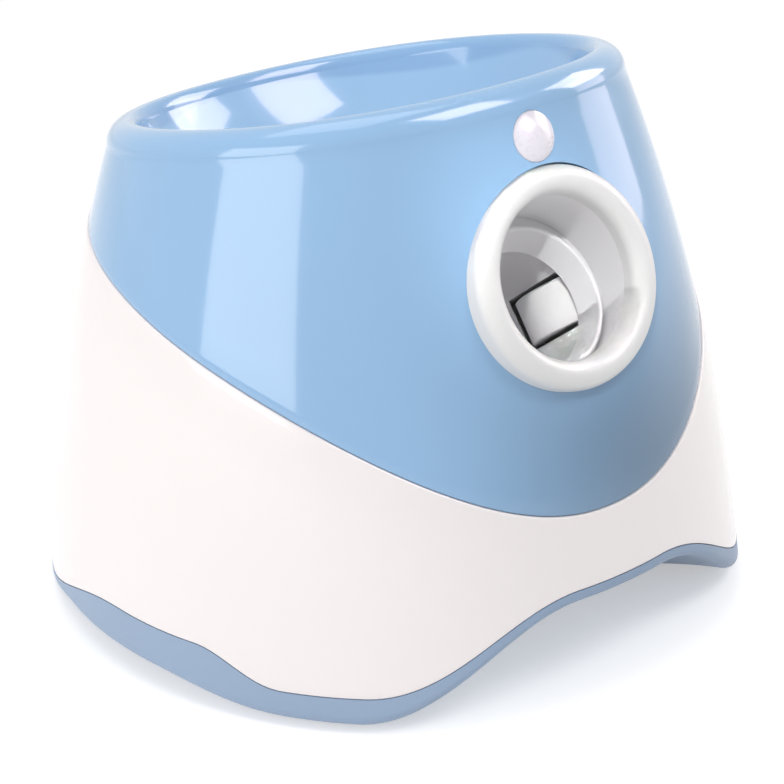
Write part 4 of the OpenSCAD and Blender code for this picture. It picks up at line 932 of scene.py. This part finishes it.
class LAUNCHER_OT_controls(PieceOperator, Operator):
    """Builds the control panel, its two buttons with their signs, and the power socket"""
    bl_idname = "launcher.controls"
    bl_label = "Controls"

    def build(self):
        r = self.rear
        face = rear_frame(self.casing, r.panel_z) @ Matrix.Translation((0, 0, -r.panel_face))
        edge, step, fit, through = 0.8 * MM, 0.4 * MM, 0.2 * MM, 4 * MM
        border, wall, plate = 3 * MM, 2 * MM, 2.5 * MM

        def outline(inset):
            return rounded_rectangle(r.panel_w - 2 * inset, r.panel_h - 2 * inset, r.panel_corner - inset)

        panel = rounded_block("panel_plate", outline(0.0), face, -r.panel_depth, 0.0, edge)
        cutters = [rounded_block("cutter", outline(border), face, -step, 2 * MM, 0.0),
                   rounded_block("cutter", outline(wall), face, -2 * r.panel_depth, -plate, 0.0)]
        holes = [(side * r.button_x, r.button_d / 2 + fit, 64) for side in (-1, 1)]
        holes += [(k * r.led_x, r.led_r, 32) for k in (-1, 0, 1)]
        cutters += [cylinder_cutter(face @ Matrix.Translation((x, 0, 0)), radius, -through, through, sides)
                    for x, radius, sides in holes]
        carve(panel, cutters)
        dress(panel, "panel_grey", "control_panel")
        for side, name in ((-1, "power_button"), (1, "distance_button")):
            self.button(name, face @ Matrix.Translation((side * r.button_x, 0, 0)))
        self.socket()

    def button(self, name, at):
        radius, high, edge = self.rear.button_d / 2, 1.6 * MM, 0.6 * MM
        stem_r, stem_end = 2 * MM, -5.6 * MM
        flange_r, low, up = radius + 1.6 * MM, -4.6 * MM, -3.0 * MM
        profile = [(0, stem_end), (stem_r, stem_end), (stem_r, low),
                   (flange_r, low), (flange_r, up), (radius, up)]
        profile += arc(radius - edge, high - edge, edge, 0, 90, 6)
        profile += [(share * radius, high - dip) for share, dip in
                    ((0.6, 0.12 * MM), (0.3, 0.2 * MM), (0, 0.22 * MM))]
        dress(revolve(name + "_cap", profile, at, 96), "button_blue", name, body=name)
        top = at @ Matrix.Translation((0, 0, high - 0.3 * MM))
        for mark in self.power_sign(top) if name == "power_button" else self.distance_sign(top):
            dress(mark, "ring_white", body=name)

    def sign(self, name, corners, at):
        rise, edge = 0.45 * MM, 0.1 * MM
        return rounded_block(name, corners, at, 0.0, rise, edge, 2)

    def bar(self, x, low, high, half):
        return [(x - half, low), (x + half, low), (x + half, high), (x - half, high)]

    def power_sign(self, at):
        """The usual ring with a gap and a bar."""
        r, half = 2.7 * MM, 0.35 * MM
        corners = arc(0, 0, r + half, 125, 415, 40) + arc(0, 0, r - half, 415, 125, 40)
        return [self.sign("power_sign_ring", corners, at),
                self.sign("power_sign_bar", self.bar(0, 0.9 * MM, 3.6 * MM, half), at)]

    def distance_sign(self, at):
        """Three bars that grow."""
        pitch, low, first, growth, half = 1.9 * MM, -2.4 * MM, 2.0 * MM, 1.4 * MM, 0.5 * MM
        bars = [self.bar((k - 1) * pitch, low, low + first + growth * k, half) for k in range(3)]
        return [self.sign("distance_sign_%d" % k, bar, at) for k, bar in enumerate(bars)]

    def socket(self):
        r = self.rear
        at = rear_frame(self.casing, r.jack_z)
        wide, rim_corner, rim_t, rim_edge = r.jack_w + 2 * r.jack_rim, 2.2 * MM, 1.4 * MM, 0.5 * MM
        corner, block_end, block_up, bore_end = 0.5 * MM, -13 * MM, 0.2 * MM, -9.5 * MM
        rim = rounded_block("power_socket_rim", rounded_rectangle(wide, wide, rim_corner), at,
                            0.0, rim_t, rim_edge)
        block = rounded_block("power_socket_block", rounded_rectangle(r.jack_w, r.jack_w, corner, 3), at,
                              block_end, block_up, 0.0)
        for piece in (rim, block):
            carve(piece, [cylinder_cutter(at, r.jack_bore / 2, bore_end, 4 * MM, 64)])
            dress(piece, "jack_black", "dc_jack")
        pin_r, tip_r, low, high, end = 1 * MM, 0.7 * MM, -9.6 * MM, -2 * MM, -1.5 * MM
        profile = [(0, low), (pin_r, low), (pin_r, high), (tip_r, end), (0, end + 0.1 * MM)]
        dress(revolve("power_socket_pin", profile, at, 32), "shaft_steel")


# Each lamp: name, place, aim, width and height in metres, power in watts, tint, and whether it lights matt
# surfaces and shows in polished ones
PLAIN = (1.0, 1.0, 1.0)
LAMPS = (
    ("left_panel", (-1.32, -0.08, 0.48), (-0.05, -0.05, 0.28),
     0.98, 0.70, 7.2, (1.0, 0.965, 0.95), True, True),
    ("overhead", (-0.10, 0.25, 1.55), (-0.02, 0.0, 0.20),
     1.00, 1.00, 5.3, PLAIN, True, True),
    ("top_front", (0.22, -0.84, 1.17), (0.0, -0.02, 0.20),
     0.60, 0.44, 4.2, PLAIN, True, False),
    ("right_fill", (1.24, -0.44, 0.44), (0.05, -0.10, 0.20),
     0.50, 0.66, 1.5, (1.0, 0.92, 0.95), True, False),
    ("right_strip", (1.16, -0.42, 0.42), (0.05, -0.10, 0.20),
     0.50, 0.66, 2.6, (1.0, 0.84, 0.86), False, True),
    ("dish_streak_right", (1.145, -0.307, 0.768), (0.0, 0.0, 0.20),
     0.76, 0.56, 8.6, (1.0, 0.86, 0.86), False, True),
    ("dish_streak_front", (0.330, -0.818, 1.170), (0.0, 0.0, 0.20),
     0.72, 0.72, 12.2, (1.0, 0.80, 0.85), False, True),
)
# The lamp that shines through the mouth onto the right tread, and its half angle in degrees
MOUTH_LAMP = ("mouth_spot", (-0.62, -0.73, 1.04), (0.022, -0.10, 0.143), 0.06, 0.06, 0.0095, PLAIN)
MOUTH_SPREAD = 1.9


class LAUNCHER_OT_stage(PieceOperator, Operator):
    """Sets up the pale floor, the soft lights and the camera"""
    bl_idname = "launcher.stage"
    bl_label = "Stage"

    def build(self):
        scene = bpy.context.scene
        stage = scene.launcher_stage
        scene.view_settings.view_transform = "Standard"
        self.floor()
        self.room(stage.fill)
        for *settings, diffuse, glossy in LAMPS:
            lamp = self.lamp(*settings)
            lamp.visible_diffuse, lamp.visible_glossy = diffuse, glossy
        spot = self.lamp(*MOUTH_LAMP)
        spot.data.spread = radians(2 * MOUTH_SPREAD)
        spot.visible_glossy = False
        self.camera(stage)

    def floor(self):
        half, white_level, glow_level = 6.0, 0.86, 0.42
        bm = bmesh.new()
        bmesh.ops.create_grid(bm, x_segments=1, y_segments=1, size=half)
        floor = finish_mesh("floor", bm)
        f = Finish("floor_white")
        white = f.add("ShaderNodeBsdfDiffuse", None, {"Color": (white_level,) * 3})
        glow = f.add("ShaderNodeEmission", None, {"Color": PLAIN, "Strength": self.seen(f) * glow_level})
        both = f.add("ShaderNodeAddShader", None, {0: white, 1: glow})
        f.add("ShaderNodeOutputMaterial", None, {"Surface": both})
        floor.data.materials.append(f.material)

    def seen(self, f):
        """1 where the camera, a reflection or a clear piece looks, otherwise 0."""
        camera, glossy, clear = (f.add("ShaderNodeLightPath", out="Is %s Ray" % kind)
                                 for kind in ("Camera", "Glossy", "Transmission"))
        return camera.either(glossy).either(clear)

    def room(self, fill):
        world = bpy.data.worlds.new("room")
        world.use_nodes = True
        bpy.context.scene.world = world
        f = Finish.of(world.node_tree)
        level = self.seen(f) * (1.0 - fill) + fill
        sky = f.add("ShaderNodeBackground", None, {"Color": PLAIN, "Strength": level})
        f.add("ShaderNodeOutputWorld", None, {"Surface": sky})

    def lamp(self, name, at, aim, wide, high, power, tint):
        data = bpy.data.lights.new(name, "AREA")
        data.shape = "RECTANGLE"
        data.size = wide
        data.size_y = high
        data.energy = power
        data.color = tint
        lamp = bpy.data.objects.new(name, data)
        lamp.location = at
        lamp.rotation_euler = (Vector(aim) - Vector(at)).to_track_quat("-Z", "Y").to_euler()
        bpy.context.scene.collection.objects.link(lamp)
        return lamp

    def camera(self, stage):
        a, e, r = stage.azimuth, stage.elevation, stage.roll
        back = Vector((sin(a) * cos(e), -cos(a) * cos(e), sin(e)))
        level = Vector((cos(a), sin(a), 0))
        right = level * cos(r) + back.cross(level) * sin(r)
        up = back.cross(right)
        turn = Matrix((right, up, back)).transposed().to_4x4()
        data = bpy.data.cameras.new("camera")
        data.lens = stage.lens
        data.sensor_width = 36.0
        camera = bpy.data.objects.new("camera", data)
        camera.matrix_world = Matrix.Translation(stage.camera_at) @ turn
        bpy.context.scene.collection.objects.link(camera)
        bpy.context.scene.camera = camera


class LAUNCHER_PT_panel(Panel):
    """Lists the pieces in the sidebar"""
    bl_idname = "LAUNCHER_PT_panel"
    bl_label = "Dog ball launcher"
    bl_space_type = "VIEW_3D"
    bl_region_type = "UI"
    bl_category = "Launcher"

    def draw(self, context):
        for step in STEPS:
            self.layout.operator(step.bl_idname)


GROUPS = {"launcher_sizes": LauncherSizes, "launcher_outlet": LauncherOutlet, "launcher_rear": LauncherRear,
          "launcher_colours": LauncherColours, "launcher_stage": LauncherStage}
STEPS = (LAUNCHER_OT_finishes, LAUNCHER_OT_cover, LAUNCHER_OT_hopper, LAUNCHER_OT_shell,
         LAUNCHER_OT_base, LAUNCHER_OT_outlet, LAUNCHER_OT_sensor, LAUNCHER_OT_wheels, LAUNCHER_OT_controls,
         LAUNCHER_OT_stage)
CLASSES = (*GROUPS.values(), *STEPS, LAUNCHER_PT_panel)


def register():
    for cls in CLASSES:
        bpy.utils.register_class(cls)
    for name, group in GROUPS.items():
        setattr(Scene, name, PointerProperty(type=group))


def unregister():
    for name in GROUPS:
        delattr(Scene, name)
    for cls in reversed(CLASSES):
        bpy.utils.unregister_class(cls)


def main():
    register()
    for step in STEPS:
        group, name = step.bl_idname.split(".")
        getattr(getattr(bpy.ops, group), name)()


if __name__ == "__main__":
    main()
